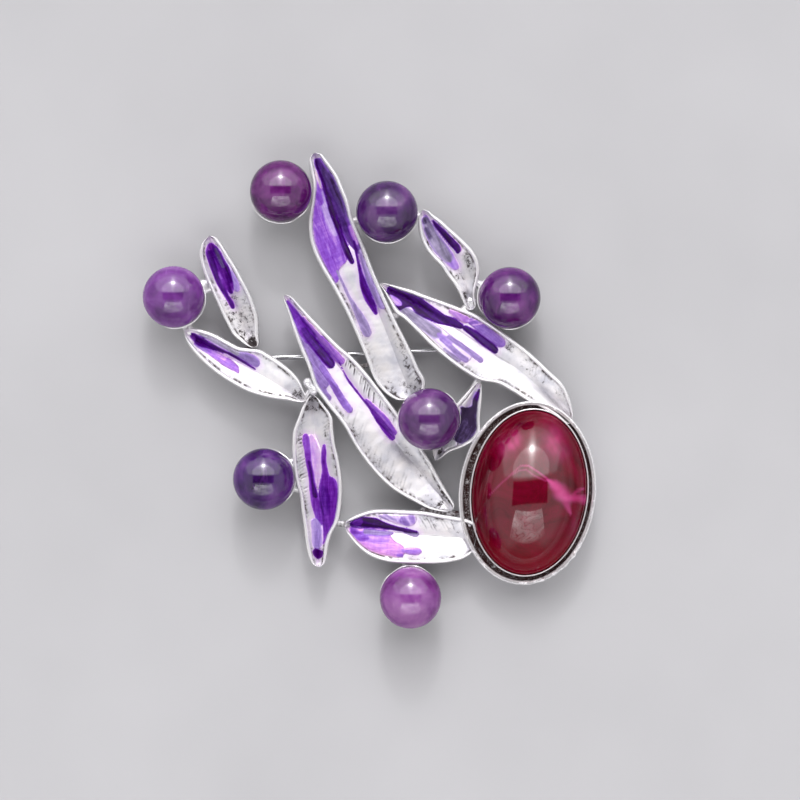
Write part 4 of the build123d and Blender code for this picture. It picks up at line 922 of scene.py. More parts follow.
def build_cup(name, material):
    """A thin cup under a bead; its lip hugs the bead and stands out from it in places."""
    seed = list(BEADS).index(name) + 1
    inner, outer = BEAD_RADIUS + BEAD_GAP, BEAD_RADIUS + BEAD_GAP + CUP_WALL
    lip_outside = math.sqrt(outer**2 - CUP_LIP_DROP**2)
    lip_inside = math.sqrt(inner**2 - CUP_LIP_DROP**2)
    outside = ball_profile(outer, CUP_POLE, math.acos(CUP_LIP_DROP / outer), CUP_OUTER_RINGS)
    crest = [(lip_outside - 0.03, -CUP_LIP_DROP + 0.09), (lip_outside - 0.11, -CUP_LIP_DROP + 0.13),
             (lip_inside + 0.10, -CUP_LIP_DROP + 0.06)]
    inside = ball_profile(inner, math.acos(CUP_LIP_DROP / inner), CUP_POLE, CUP_INNER_RINGS)
    profile = outside + crest + inside

    def flare(angle):
        total = np.zeros(np.shape(angle))
        for direction, half, size in CUP_FLARES[name]:
            away = np.abs(np.mod(np.degrees(angle) - direction + 180, 360) - 180)
            total = np.maximum(total, size * (1 - smoothstep(0.35 * half, 1.15 * half, away)))
        return total

    def shape(radius, height, angle):
        level = smoothstep(-3.7, -CUP_LIP_DROP, height)
        wave = 0.05 * np.cos(5 * angle + seed * 1.9) + 0.04 * np.cos(3 * angle + seed * 0.7)
        out = flare(angle)
        return radius + level * out, height + level * (2.2 * out + wave)

    points = lathe(profile, CUP_SIDES, shape) + bead_centre(name)
    below_lip = np.array([p[1] for p in profile]) + CUP_LIP_DROP
    lining = np.arange(len(profile)) >= len(outside) + 2
    # The lining, in the gap round the bead, is painted dark as shade; the outside darkens lower down.
    dark = np.where(lining, 0.75, 0.45 * smoothstep(0.3, 1.4, -below_lip))
    # The lip gets polish and a painted highlight.
    polish_and_highlight = np.where(lining, 0.0, smoothstep(-0.9, -0.3, below_lip))
    values = {"tarnish": 0.4, "dark": np.repeat(dark, CUP_SIDES), "rim": np.repeat(polish_and_highlight, CUP_SIDES)}
    return add(make_mesh(name + "_cup", points, tube_faces(len(profile), CUP_SIDES), 40, values), material)


def oval_points(half_width, half_length, angles, shifted=1.0):
    """Points round an oval, by the share of the seat's shift from the bezel's middle."""
    turn = math.radians(BEZEL_TURN)
    u, v = half_width * np.cos(angles), half_length * np.sin(angles)
    x = BEZEL_X + SEAT_SHIFT_X * shifted + u * math.cos(turn) - v * math.sin(turn)
    y = BEZEL_Y + SEAT_SHIFT_Y * shifted + u * math.sin(turn) + v * math.cos(turn)
    return x, y


def build_bezel(material):
    """The oval setting: a wall with a granular lip, a dark beaded ledge, a thin seat lip, a closed back."""
    angles = around(BEZEL_SIDES)
    points, tarnish, polish_and_highlight, dark = [], [], [], []
    lower_left = smoothstep(0.20, 0.75, np.cos(angles + 2.75))
    upper_right = smoothstep(0.82, 0.97, np.cos(angles + 0.98))
    for shrink, height, share, grain, ring_tarnish, ring_polish_and_highlight, ring_dark in BEZEL_PROFILE:
        half_width = BEZEL_HALF_WIDTH - shrink - SEAT_NARROWER * share
        x, y = oval_points(half_width, BEZEL_HALF_LENGTH - shrink, angles, share)
        rough = 0.035 * ripple(x, y, 0.55, 3) + 0.03 * ripple(x + shrink * 2.1, y - shrink * 1.7, 0.33, 8)
        granules = np.zeros(BEZEL_SIDES)
        if GRANULE_RINGS[0] <= shrink <= GRANULE_RINGS[1]:
            round_the_oval = np.cos(angles * GRANULES + 4.5 * ripple(x, y, 1.3, 5))
            granules = np.clip(round_the_oval, 0, 1) ** 1.5 * lower_left
            granules = granules * np.clip(0.25 + 1.1 * ripple(x, y, 0.9, 2), 0, 1)
        lumps = upper_right * np.clip(ripple(x, y, 0.9, 6) + 0.1, 0, 1)
        push = 1 + grain * lumps * 0.018
        x, y = BEZEL_X + (x - BEZEL_X) * push, BEZEL_Y + (y - BEZEL_Y) * push
        lift = grain * rough + 0.12 * granules
        points.append(np.stack([x, y, height + lift + 0.12 * grain * lumps], axis=-1))
        tarnish.append(np.full(BEZEL_SIDES, ring_tarnish))
        polish_and_highlight.append(np.full(BEZEL_SIDES, ring_polish_and_highlight))
        dark.append(ring_dark * (1 - 0.55 * granules))
    values = {"tarnish": np.concatenate(tarnish), "rim": np.concatenate(polish_and_highlight), "dark": np.concatenate(dark)}
    faces = tube_faces(len(BEZEL_PROFILE), BEZEL_SIDES)
    return add(make_mesh("oval_bezel", np.concatenate(points), faces, 60, values), material)


def build_cabochon(material):
    """A domed oval stone with the veins and clouds of dyed agate."""
    angles = around(STONE_SIDES)
    wall_top = STONE_GIRDLE_TOP - STONE_FOOT
    foot = [(0.02, 0.0), (0.5, 0.0), (0.96, 0.0), (0.995, 0.05), (1.0, 0.14)]
    wall = [(1.0, height) for height in (0.6, 1.2, 1.8, 2.3, wall_top)]
    cut = math.sqrt(1 - STONE_CAP**2)
    shares = np.cos(np.concatenate([np.linspace(0.10, 1.2, 60), np.linspace(1.215, math.pi / 2 - 0.004, 34)]))
    dome = [(q, wall_top + STONE_CURVE * (math.sqrt(1 - (STONE_CAP * q) ** 2) - cut)) for q in shares]
    profile = foot + wall + dome
    rings = []
    for share, height in profile:
        x, y = oval_points(STONE_HALF_WIDTH * share, STONE_HALF_LENGTH * share, angles)
        rings.append(np.stack([x, y, np.full(STONE_SIDES, STONE_FOOT + height)], axis=-1))
    points = np.concatenate(rings)
    points[:, 2] += 0.02 * ripple(points[:, 0], points[:, 1], 6.0, 5) * smoothstep(4.3, 6.0, points[:, 2])
    x, y = points[:, 0] - BEZEL_X - SEAT_SHIFT_X, points[:, 1] - BEZEL_Y - SEAT_SHIFT_Y
    warp_x = x + 0.10 * ripple(x, y, 2.6, 7)
    warp_y = y + 0.10 * ripple(x, y, 3.0, 3)
    vein = np.zeros(len(points))
    for strength, rows in VEINS:
        for (ax, ay, ar), (bx, by, br) in zip(rows, rows[1:]):
            run = (bx - ax) ** 2 + (by - ay) ** 2
            t = np.clip(((warp_x - ax) * (bx - ax) + (warp_y - ay) * (by - ay)) / run, 0, 1)
            away = np.hypot(warp_x - ax - t * (bx - ax), warp_y - ay - t * (by - ay))
            reach = ar + t * (br - ar)
            vein = np.maximum(vein, strength * smoothstep(-1.5, -0.1, -away / reach))
    cloud = np.zeros(len(points))
    for cx, cy, rx, ry, strength in CLOUDS:
        far = np.hypot((warp_x - cx) / rx, (warp_y - cy) / ry)
        cloud = np.maximum(cloud, strength * np.exp(-far**2) * (0.85 + 0.35 * ripple(x, y, 1.1, 4)))
    # brighter crimson towards the lower end: a painted glow of light shining through the stone
    painted_low_glow = smoothstep(3.0, 9.5, -y) * (0.8 + 0.3 * ripple(x, y, 3.0, 8))
    piece = make_mesh("cabochon_stone", points, tube_faces(len(profile), STONE_SIDES), 50,
                      {"vein": vein, "cloud": cloud, "painted_low_glow": painted_low_glow})
    return add(piece, material, "frame", ["cabochon"])


def build_solder(name, start, end, radius, material, seed, flat, dull, ridged):
    """A solder joint: a short, flattened run of metal that widens towards both ends, ridged in places."""
    start, end = np.array(start, float), np.array(end, float)
    length = np.linalg.norm(end - start)
    axis = (end - start) / length
    side = np.array([-axis[1], axis[0], 0.0])
    side = side / np.linalg.norm(side)
    up = np.cross(axis, side)
    ends = [(math.cos(t) * radius, math.sin(t) * radius) for t in np.linspace(0.08, math.pi / 2, 9)]
    profile = [(-along, reach) for along, reach in ends]
    profile += [(length * t, radius) for t in np.linspace(0.06, 0.94, 17)]
    profile += [(length + along, reach) for along, reach in ends[::-1]]
    # dull darkens the piece: tarnish, and painted shade for a joint set low in a gap
    points, dark = [], []
    for along, reach in profile:
        waist = 0.86 + 0.14 * min(1.0, abs(2 * along / length - 1)) ** 2
        ridge = math.cos(2 * math.pi * along / RIDGE_SPACING + seed)
        for angle in around(SOLDER_SIDES):
            lump = waist + 0.09 * ripple(along + seed, radius * math.cos(angle) * 1.4, 1.5, seed)
            lump = lump + 0.12 * ridged * ridge * (0.6 + 0.4 * math.sin(angle * 2 + seed))
            out = side * math.cos(angle) + up * math.sin(angle) * flat
            points.append(start + axis * along + out * reach * lump)
            dark.append(dull * (1 - 0.6 * ridged * max(0.0, ridge)))
    points = np.array(points)
    dark = np.array(dark) * np.clip(0.75 + 0.6 * ripple(points[:, 0], points[:, 1], 0.8, seed), 0, 1.2)
    values = {"tarnish": 0.25 + 0.6 * dull, "rim": 0.6 * (1 - dull), "dark": np.clip(dark, 0, 1)}
    return add(make_mesh(name, points, tube_faces(len(profile), SOLDER_SIDES), 60, values), material)


def pin_place(along, aside, height):
    """A place by its distance along the pin from the hinge, aside from it, and its height."""
    turn = math.radians(PIN_TURN)
    return (HINGE_X + along * math.cos(turn) - aside * math.sin(turn),
            HINGE_Y + along * math.sin(turn) + aside * math.cos(turn), height)


def arc(radius, turns):
    """Points round the pin, by angles from its right hand side."""
    return [(radius * math.cos(t), PIN_HEIGHT + radius * math.sin(t)) for t in turns]


def build_lug(name, outline, low_aside, high_aside, material):
    """A flat piece cut to an outline of along and height, between two places aside, with softened edges."""
    middle = np.mean(outline, axis=0)
    steps = [(low_aside, LUG_ROUNDING), (low_aside + LUG_ROUNDING, 0.0), (high_aside - LUG_ROUNDING, 0.0),
             (high_aside, LUG_ROUNDING)]
    points = []
    for aside, inset in steps:
        for corner in outline:
            away = np.array(corner) - middle
            along, height = middle + away * (1 - inset / np.linalg.norm(away))
            points.append(pin_place(along, aside, height))
    faces = tube_faces(len(steps), len(outline))
    return add(make_mesh(name, points, faces, 30, {"tarnish": 0.45, "rim": 0.2}), material)


def build_hinge(material):
    """Two rounded lugs with a riveted axle, on the back of the left leaves."""
    outline = arc(LUG_RADIUS, np.linspace(0, -math.pi, 28))
    outline += [(-LUG_RADIUS, LUG_TOP), (-0.5, LUG_CREST), (0.5, LUG_CREST), (LUG_RADIUS, LUG_TOP)]
    build_lug("hinge_lug_left", outline, LUG_INNER, LUG_OUTER, material)
    build_lug("hinge_lug_right", outline, -LUG_OUTER, -LUG_INNER, material)
    points = [pin_place(reach * math.cos(angle), aside, PIN_HEIGHT + reach * math.sin(angle))
              for aside, reach in RIVET_PROFILE for angle in around(RIVET_SIDES)]
    faces = tube_faces(len(RIVET_PROFILE), RIVET_SIDES)
    add(make_mesh("hinge_rivet", points, faces, 40, {"tarnish": 0.3, "rim": 0.6}), material)


def build_catch(material):
    """A strip bent into a hook round the pin, open towards the surface, its foot under the right leaf."""
    gap = math.asin(CATCH_HALF_MOUTH / CATCH_MIDDLE)
    turns = np.linspace(-math.pi / 2 + gap, 3 * math.pi / 2 - gap, CATCH_POINTS)
    outside = [(a, CATCH_TOP) if abs(a) < CATCH_HALF_FOOT and h > PIN_HEIGHT else (a, h)
               for a, h in arc(CATCH_OUTER, turns)]
    outline = outside + arc(CATCH_INNER, turns[::-1])
    points, count = [], len(outline)
    for along, swell in CATCH_STEPS:
        for a, h in outline:
            if h < CATCH_TOP:
                away = math.hypot(a, h - PIN_HEIGHT)
                scale = (CATCH_MIDDLE + (away - CATCH_MIDDLE) * swell) / away
                a, h = a * scale, PIN_HEIGHT + (h - PIN_HEIGHT) * scale
            points.append(pin_place(CATCH_ALONG + along, a, h))
    # both ends of the strip are closed by faces from its outside to its inside
    faces = tube_faces(len(CATCH_STEPS), count)[:-2]
    for first in (0, (len(CATCH_STEPS) - 1) * count):
        last = first + count - 1
        for k in range(CATCH_POINTS - 1):
            quad = (first + k, first + k + 1, last - 1 - k, last - k)
            faces.append(quad if first else quad[::-1])
    return add(make_mesh("catch_hook", points, faces, 30, {"tarnish": 0.45, "rim": 0.3}), material)


class Nodes:
    """A small helper for the nodes of a material or of the world."""

    def __init__(self, owner):
        owner.use_nodes = True
        self.owner = owner
        self.tree = owner.node_tree
        self.shader = self.tree.nodes.get("Principled BSDF")

    def feed(self, socket, value):
        """Give a socket another node's output, or a constant."""
        if isinstance(value, bpy.types.NodeSocket):
            self.tree.links.new(value, socket)
        else:
            socket.default_value = value

    def node(self, kind, **inputs):
        made = self.tree.nodes.new(kind)
        for key, value in inputs.items():
            self.feed(made.inputs[key.replace("_", " ")], value)
        return made

    def value(self, name):
        made = self.node("ShaderNodeAttribute")
        made.attribute_name = name
        return made.outputs["Fac"]

    def noise(self, per_mm, detail=2.0, roughness=0.5, stretch=(1, 1, 1), distortion=0.0):
        """Noise through the piece, per millimetre."""
        place = self.node("ShaderNodeTexCoord").outputs["Object"]
        scaled = self.node("ShaderNodeMapping", Vector=place, Scale=[s / MM for s in stretch])
        return self.node("ShaderNodeTexNoise", Vector=scaled.outputs["Vector"], Scale=per_mm, Detail=detail,
                         Roughness=roughness, Distortion=distortion).outputs["Fac"]

    def flat_noise(self, per_mm, detail, roughness, distortion):
        """Noise over the piece laid flat: per millimetre along it and across it."""
        place = self.node("ShaderNodeUVMap")
        place.uv_map = "place"
        scaled = self.node("ShaderNodeMapping", Vector=place.outputs["UV"], Scale=(*per_mm, 1))
        return self.node("ShaderNodeTexNoise", Vector=scaled.outputs["Vector"], Scale=1.0, Detail=detail,
                         Roughness=roughness, Distortion=distortion).outputs["Fac"]

    def math(self, operation, first, second=0.0, clamp=False):
        made = self.node("ShaderNodeMath")
        made.operation = operation
        made.use_clamp = clamp
        self.feed(made.inputs[0], first)
        self.feed(made.inputs[1], second)
        return made.outputs[0]

    def add(self, first, second, clamp=False):
        return self.math("ADD", first, second, clamp)

    def less(self, first, second, clamp=False):
        return self.math("SUBTRACT", first, second, clamp)

    def times(self, first, second, clamp=False):
        return self.math("MULTIPLY", first, second, clamp)

    def squared(self, value, unit):
        return self.math("POWER", self.math("DIVIDE", value, unit), 2.0)

    def remap(self, value, low, high, to_low, to_high, kind="LINEAR"):
        made = self.node("ShaderNodeMapRange", Value=value, From_Min=low, From_Max=high, To_Min=to_low,
                         To_Max=to_high)
        made.interpolation_type = kind
        return made.outputs["Result"]

    def step(self, value, low, high, to_low=0.0):
        """A smooth rise to 1 from low to high."""
        return self.remap(value, low, high, to_low, 1.0, "SMOOTHSTEP")

    def between(self, value, low, high, soft):
        """1 between low and high, with soft borders inside them."""
        return self.times(self.step(value, low, low + soft), self.step(value, high, high - soft))

    def ramp(self, value, stops):
        made = self.node("ShaderNodeValToRGB", Fac=value)
        while len(made.color_ramp.elements) < len(stops):
            made.color_ramp.elements.new(0.5)
        for element, (place, colour) in zip(made.color_ramp.elements, stops):
            element.position = place
            element.color = colour
        return made.outputs["Color"]

    def mix(self, share, first, second, blend="MIX"):
        made = self.node("ShaderNodeMix")
        made.data_type = "RGBA"
        made.blend_type = blend
        for number, value in ((0, share), (6, first), (7, second)):
            self.feed(made.inputs[number], value)
        return made.outputs[2]

    def bump(self, height, distance_mm, strength):
        made = self.node("ShaderNodeBump", Strength=strength, Distance=distance_mm * MM, Height=height)
        self.give(Normal=made.outputs["Normal"])

    def give(self, **inputs):
        """Feed the shader's own inputs."""
        for key, value in inputs.items():
            self.feed(self.shader.inputs[key.replace("_", " ")], value)

    def less_at_grazing(self, middle, edge):
        """Specular level: middle where the surface faces the eye, edge where it turns away."""
        weight = self.node("ShaderNodeLayerWeight", Blend=0.5)
        self.give(Specular_IOR_Level=self.remap(weight.outputs["Facing"], 0.22, 0.42, middle, edge))


def new_material(name):
    return Nodes(bpy.data.materials.new(name))


ENAMEL_TONES = [
    (0.00, srgb(238, 228, 240)),
    (0.14, srgb(218, 186, 236)),
    (0.30, srgb(172, 130, 214)),
    (0.46, srgb(134, 84, 196)),
    (0.66, srgb(100, 36, 156)),
    (0.84, srgb(66, 2, 118)),
    (1.00, srgb(42, 0, 66)),
]


def silver_material():
    """White plating: satin floors, polished rims painted white as highlight, dark tarnish in low places."""
    n = new_material("antique_silver")
    grain = n.noise(1.9, 6.0, 0.72)
    fine = n.noise(6.5, 4.0, 0.7)
    cloudy = n.noise(0.42, 3.0, 0.55)
    cluster = n.remap(n.noise(0.75, 3.0, 0.6), 0.35, 0.65, 0.25, 1.35)
    groove, rim = n.value("groove"), n.value("rim")
    amount = n.add(n.times(n.times(n.value("tarnish"), cluster), 0.34), n.times(groove, 0.12))
    level = n.add(n.add(n.times(grain, 0.60), n.times(fine, 0.40)), amount)
    bare = n.less(1.0, n.times(rim, 0.85))
    film = n.times(n.step(level, 0.52, 0.78), bare)
    specks = n.times(n.step(level, 0.66, 0.78), bare)
    # the dark mark: patina in hollows, and painted shade in cup linings, on outer walls and on low joints
    patina_and_shade = n.times(n.value("dark"), n.remap(fine, 0.42, 0.62, 1.35, 0.68), True)
    shades = [(0.30, srgb(198, 197, 206)), (0.50, srgb(223, 220, 224)), (0.72, srgb(233, 228, 228))]
    colour = n.ramp(cloudy, shades)
    for share, over in (
        (n.value("wash"), srgb(228, 200, 240)),
        (n.times(n.value("shade"), bare), srgb(122, 118, 130)),
        (n.times(film, 0.40), srgb(150, 147, 155)),
        (n.times(n.times(groove, bare), 0.90, True), srgb(82, 76, 86)),
        (specks, srgb(58, 50, 52)),
        # rims and lips: polish, with near white painted on as a highlight
        (n.times(rim, 0.8), srgb(252, 250, 252)),
        (patina_and_shade, srgb(38, 15, 14)),
    ):
        colour = n.mix(share, colour, over)
    duller = n.add(n.add(n.times(specks, 0.4), n.times(rim, 0.14)), n.times(patina_and_shade, 0.55))
    rough = n.add(n.less(n.add(0.30, n.times(fine, 0.12)), n.times(rim, 0.14)), n.times(patina_and_shade, 0.3))
    n.give(Base_Color=colour, Metallic=n.less(0.62, duller, True),
           Roughness=n.add(rough, n.times(specks, 0.3)),
           Specular_IOR_Level=n.less(0.5, n.times(patina_and_shade, 0.4), True))
    height = n.add(n.times(grain, 0.7), n.times(fine, 0.35))
    n.bump(n.less(height, n.times(specks, 0.5)), 0.035, 0.5)
    return n.owner


def enamel_material():
    """Glossy poured enamel, pale where it is thin, drawn out in streaks along the leaf, faintly ribbed."""
    n = new_material("violet_enamel")
    swirl = n.noise(1.1, 4.0, 0.6, distortion=1.2)
    fine = n.noise(5.0, 3.0, 0.6)
    depth, pinkness = n.value("tone"), n.value("pink")
    drift = 0.0
    for noise, reach in (
        (n.flat_noise((0.22, 1.0), 3.0, 0.6, 1.4), 0.13),
        (n.flat_noise((0.45, 3.0), 3.0, 0.6, 0.8), 0.06),
        (n.flat_noise((2.3, 0.30), 2.0, 0.5, 0.3), 0.04),
        (fine, 0.02),
    ):
        drift = n.add(drift, n.remap(noise, 0.3, 0.7, -reach, reach))
    drift = n.times(drift, n.remap(depth, 0.0, 0.5, 0.4, 1.0))
    thin = n.times(n.less(1.0, n.value("thick")), 0.24)
    tone = n.less(n.less(n.add(depth, drift), thin), n.times(n.value("groove"), 0.20), True)
    colour = n.ramp(tone, ENAMEL_TONES)
    magenta = n.mix(1.0, colour, srgb(255, 165, 215), "MULTIPLY")
    rose = n.add(n.times(pinkness, 0.7), n.remap(swirl, 0.4, 0.7, 0.0, 0.2), True)
    colour = n.mix(rose, colour, magenta)
    grey = n.times(pinkness, -1.0, True)
    dull = n.node("ShaderNodeHueSaturation", Saturation=n.less(1.0, grey), Color=colour)
    n.give(Base_Color=dull.outputs["Color"], Metallic=n.remap(tone, 0.0, 0.4, 0.55, 0.08),
           Roughness=n.remap(swirl, 0.3, 0.7, 0.30, 0.40), Coat_Weight=0.24, Coat_Roughness=0.06,
           Coat_IOR=1.45, Specular_IOR_Level=0.08)
    n.bump(n.add(n.times(swirl, 0.6), n.times(fine, 0.2)), 0.03, 0.35)
    return n.owner


def bead_material(name, deep, body, pale, veil_turn):
    """Amethyst: a clear skin over a cloudy body with veils."""
    n = new_material(name)
    clouds = n.noise(0.26, 3.0, 0.55, distortion=0.3)
    veils = n.noise(0.75, 3.0, 0.55, (1.3, 0.30 + 0.3 * veil_turn, 0.5), 0.5)
    specks = n.noise(3.4, 3.0, 0.7)
    colour = n.ramp(clouds, [(0.34, deep), (0.50, body), (0.76, pale)])
    colour = n.mix(n.times(n.step(veils, 0.58, 0.76), 0.40), colour, pale)
    colour = n.mix(n.times(n.step(specks, 0.62, 0.74), 0.28), colour, deep)
    n.give(Base_Color=colour, Roughness=n.remap(specks, 0.3, 0.8, 0.03, 0.07), IOR=1.55,
           Subsurface_Weight=0.30, Subsurface_Scale=1.6 * MM, Subsurface_Radius=(1.0, 0.5, 1.1),
           Transmission_Weight=0.22)
    n.less_at_grazing(1.0, 0.20)
    n.bump(specks, 0.004, 0.3)
    return n.owner


def agate_material():
    """Dyed agate: crimson, pink veins and clouds, a painted glow at its lower end, and a polished skin."""
    n = new_material("crimson_agate")
    clouds = n.noise(0.22, 4.0, 0.6, distortion=1.0)
    bands = n.noise(0.9, 4.0, 0.6, (0.6, 1.0, 0.6), 2.0)
    flow = n.noise(0.45, 2.0, 0.5, (0.8, 1.2, 0.5))
    pink = n.ramp(flow, [(0.34, srgb(178, 46, 108)), (0.52, srgb(192, 62, 128)), (0.68, srgb(204, 82, 146))])
    colour = n.ramp(clouds, [(0.30, srgb(72, 0, 14)), (0.50, srgb(98, 0, 26)), (0.74, srgb(118, 0, 42))])
    for share, over in (
        (n.times(n.step(bands, 0.55, 0.75), 0.25), srgb(66, 0, 10)),
        # painted glow towards the stone's lower end
        (n.times(n.value("painted_low_glow"), 0.6), srgb(138, 0, 22)),
        (n.value("cloud"), srgb(186, 50, 116)),
        (n.times(n.value("vein"), 0.92), pink),
    ):
        colour = n.mix(share, colour, over)
    n.give(Base_Color=colour, Roughness=n.remap(bands, 0.3, 0.8, 0.04, 0.09), IOR=1.54,
           Subsurface_Weight=0.12, Subsurface_Scale=1.2 * MM, Subsurface_Radius=(1.0, 0.15, 0.25))
    n.less_at_grazing(0.8, 0.06)
    n.bump(bands, 0.004, 0.25)
    return n.owner


def steel_material():
    """Drawn wire, with fine marks along its length."""
    n = new_material("drawn_steel")
    drawn = n.noise(3.0, 4.0, 0.6, (0.12, 3.0, 3.0))
    fine = n.noise(12.0, 2.0, 0.6)
    n.give(Base_Color=n.ramp(drawn, [(0.30, srgb(178, 178, 182)), (0.75, srgb(232, 232, 234))]),
           Roughness=n.remap(drawn, 0.25, 0.8, 0.16, 0.34), Metallic=1.0)
    n.bump(n.add(n.times(drawn, 0.7), n.times(fine, 0.3)), 0.01, 0.4)
    return n.owner


def floor_material():
    n = new_material("studio_floor")
    soft = n.noise(0.02, 3.0, 0.6)
    grain = n.noise(1.2, 2.0, 0.5)
    n.give(Base_Color=n.ramp(soft, [(0.3, srgb(176, 175, 178)), (0.7, srgb(184, 183, 186))]), Roughness=0.9)
    n.bump(grain, 0.02, 0.25)
    return n.owner


# bead: deep, body and pale colours, and the lean of its veils
BEAD_COLOURS = {
    "bead_1": (srgb(70, 8, 80), srgb(94, 20, 102), srgb(140, 60, 146), 0.2),
    "bead_2": (srgb(54, 16, 76), srgb(80, 34, 106), srgb(128, 78, 146), 0.6),
    "bead_3": (srgb(96, 38, 120), srgb(124, 60, 150), srgb(164, 104, 186), 0.1),
    "bead_4": (srgb(56, 6, 74), srgb(84, 18, 104), srgb(134, 62, 148), 0.9),
    "bead_5": (srgb(76, 32, 96), srgb(104, 52, 122), srgb(148, 98, 162), 0.4),
    "bead_6": (srgb(46, 8, 74), srgb(72, 24, 108), srgb(124, 68, 156), 0.8),
    "bead_7": (srgb(112, 44, 122), srgb(144, 74, 156), srgb(192, 132, 196), 0.3),
}


def aim(thing, tilt, distance):
    """Place a light tilted from straight above towards the top of the picture, facing the brooch."""
    lean = math.radians(tilt)
    away = Vector((0, math.sin(lean), math.cos(lean)))
    thing.location = Vector((CAMERA_X * MM, CAMERA_Y * MM, AIM_HEIGHT)) + away * distance
    thing.rotation_mode = "QUATERNION"
    thing.rotation_quaternion = away.to_track_quat("Z", "Y")
    bpy.context.scene.collection.objects.link(thing)
    return thing


def build_lamp():
    """The round lamp behind the tent's back wall."""
    light = bpy.data.lights.new("lamp", "AREA")
    light.shape = "DISK"
    light.size = LAMP_WIDTH
    light.energy = LAMP_RADIANCE * math.pi * LAMP_WIDTH**2 * math.pi / 4
    aim(bpy.data.objects.new("lamp", light), LAMP_TILT, LAMP_DISTANCE)


def build_panel():
    """A glowing sheet of cloth with soft creases, seen only by its light and its reflections."""
    mesh = bpy.data.meshes.new("creased_panel")
    mesh.from_pydata([(x, y, 0) for x, y in PANEL_OUTLINE], [], [tuple(range(len(PANEL_OUTLINE)))])
    n = new_material("creased_panel")
    place = n.node("ShaderNodeTexCoord").outputs["Object"]
    stretched = n.node("ShaderNodeMapping", Vector=place, Scale=PANEL_STRETCH).outputs["Vector"]
    noise = n.node("ShaderNodeTexNoise", Vector=stretched, Scale=PANEL_FOLDS, Detail=0.5, Distortion=0.8)
    folds = noise.outputs["Fac"]
    glow = n.remap(folds, 0.38, 0.70, PANEL_DIM, PANEL_BRIGHT)
    creases = n.remap(n.math("PINGPONG", folds, 0.05), 0.0, 0.014, 0.30, 1.0)
    up = n.node("ShaderNodeSeparateXYZ", Vector=place).outputs["Y"]
    glow = n.times(n.times(glow, creases), n.remap(up, -0.24, 0.12, 0.35, 1.0))
    shine = n.node("ShaderNodeEmission", Strength=glow)
    n.feed(n.tree.nodes["Material Output"].inputs["Surface"], shine.outputs["Emission"])
    mesh.materials.append(n.owner)
    sheet = aim(bpy.data.objects.new("creased_panel", mesh), PANEL_TILT, PANEL_DISTANCE)
    sheet.visible_camera = False
    sheet.visible_shadow = False


def build_world():
    """A pale tent, brightest near the lamp behind it, with a dark opening overhead for the camera."""
    world = bpy.data.worlds.new("studio")
    bpy.context.scene.world = world
    n = Nodes(world)
    place = n.node("ShaderNodeTexCoord").outputs["Generated"]
    x, y, z = n.node("ShaderNodeSeparateXYZ", Vector=place).outputs
    opening = n.times(n.between(x, *OPENING_X), n.between(y, *OPENING_Y))
    opening = n.times(opening, n.between(z, *OPENING_Z))
    wall = n.times(n.between(x, *WALL_X), n.between(y, *WALL_Y))
    lean = math.radians(LAMP_TILT)
    below = n.node("ShaderNodeVectorMath")
    below.operation = "DOT_PRODUCT"
    n.feed(below.inputs[0], place)
    n.feed(below.inputs[1], (0, math.cos(lean), -math.sin(lean)))
    below_lamp = below.outputs["Value"]
    # the wall's brighter middle is round at the top, a little above the lamp
    past = n.math("MAXIMUM", n.add(below_lamp, ARCH_RAISED), 0.0)
    round_top = n.math("SQRT", n.add(n.squared(x, ARCH_WIDE), n.squared(past, ARCH_TALL)))
    middle = n.times(n.times(n.step(round_top, 1.0, 0.92), wall), ARCH_GLOW)
    glow = n.add(n.times(wall, WALL_GLOW), middle)
    for wide, tall, strength in LAMP_GLOWS:
        away = n.math("SQRT", n.add(n.squared(x, wide), n.squared(below_lamp, tall)))
        glow = n.add(glow, n.times(n.times(n.step(away, 1.0, 0.0), strength), wall))
    roof = n.remap(z, 0.0, 0.25, EDGE_GLOW, TENT_GLOW)
    roof = n.times(roof, n.step(y, FRONT_DIM, FRONT_CLEAR, FRONT_GLOW))
    tent = n.times(n.add(roof, glow), n.less(1.0, n.times(opening, OPENING_DARK)))
    background = n.tree.nodes["Background"]
    n.feed(background.inputs["Strength"], tent)
    n.feed(background.inputs["Color"], TENT_COLOUR)


def build_studio():
    scene = bpy.context.scene
    floor_mesh = bpy.data.meshes.new("floor")
    corners = [(-1, -1), (1, -1), (1, 1), (-1, 1)]
    floor_mesh.from_pydata([(x * FLOOR_REACH, y * FLOOR_REACH, 0) for x, y in corners], [], [(0, 1, 2, 3)])
    floor = bpy.data.objects.new("floor", floor_mesh)
    floor_mesh.materials.append(floor_material())
    scene.collection.objects.link(floor)
    build_world()
    build_panel()
    build_lamp()
    scene.view_settings.view_transform = "Standard"


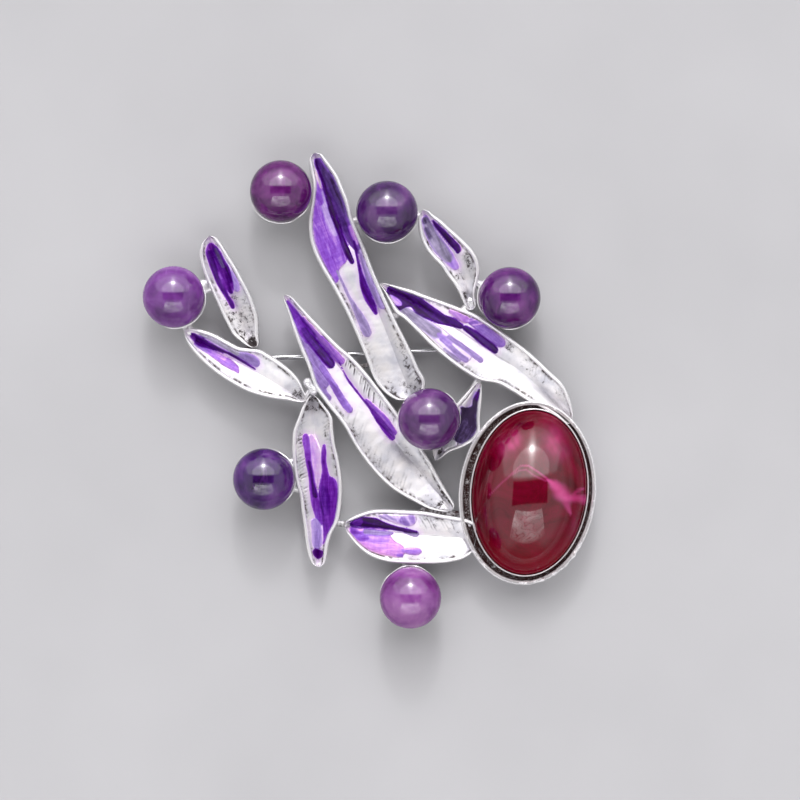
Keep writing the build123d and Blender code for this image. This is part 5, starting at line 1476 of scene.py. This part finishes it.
def build_camera():
    scene = bpy.context.scene
    data = bpy.data.cameras.new("camera")
    data.sensor_width = SENSOR
    data.lens = SENSOR * (CAMERA_HEIGHT - VIEW_PLANE) / VIEW_WIDTH
    data.clip_start, data.clip_end = 0.01, 5.0
    camera = bpy.data.objects.new("camera", data)
    camera.location = place_all([(CAMERA_X, CAMERA_Y, CAMERA_HEIGHT)])[0]
    scene.collection.objects.link(camera)
    scene.camera = camera


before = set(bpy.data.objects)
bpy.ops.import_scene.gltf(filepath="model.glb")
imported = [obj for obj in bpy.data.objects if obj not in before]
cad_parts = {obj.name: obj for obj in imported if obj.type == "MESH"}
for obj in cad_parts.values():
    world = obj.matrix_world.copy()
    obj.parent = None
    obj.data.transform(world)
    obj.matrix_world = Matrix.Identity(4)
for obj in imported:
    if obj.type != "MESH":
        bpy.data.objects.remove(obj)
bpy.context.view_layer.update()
low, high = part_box("bead_1")
SHIFT_X = (low.x + high.x) / 2 / MM - BEADS["bead_1"][0]
SHIFT_Y = (low.y + high.y) / 2 / MM - BEADS["bead_1"][1]

build_camera()
build_studio()
silver = silver_material()
enamel = enamel_material()
steel = steel_material()

for name in LEAVES:
    leaf = Leaf(name)
    leaf.build(silver)
    leaf.build_enamel(enamel)
for name, (deep, body, pale, lean) in BEAD_COLOURS.items():
    build_bead(name, bead_material("amethyst_" + name[-1], deep, body, pale, lean))
    build_cup(name, silver)
bezel = build_bezel(silver)
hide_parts("leaf_frame")
build_cabochon(agate_material())
for k, (bead, x, y, radius, flat) in enumerate(TABS, 1):
    centre = bead_centre(bead)[:2]
    away = np.array([x, y]) - centre
    start = centre + away / np.linalg.norm(away) * TAB_START
    build_solder(f"solder_tab_{k}", (*start, TAB_HEIGHT), (x, y, TAB_HEIGHT), radius, silver, k, flat,
                 TAB_DARK, 0.0)
for k, (x, y, end_x, end_y, radius, height, flat, dull, ridged) in enumerate(JOINTS, 1):
    build_solder(f"solder_joint_{k}", (x, y, height), (end_x, end_y, height), radius, silver, k + JOINT_SEED,
                 flat, dull, ridged)
build_hinge(silver)
build_catch(silver)
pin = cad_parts["pin_stem"]
pin.data.materials.clear()
pin.data.materials.append(steel)
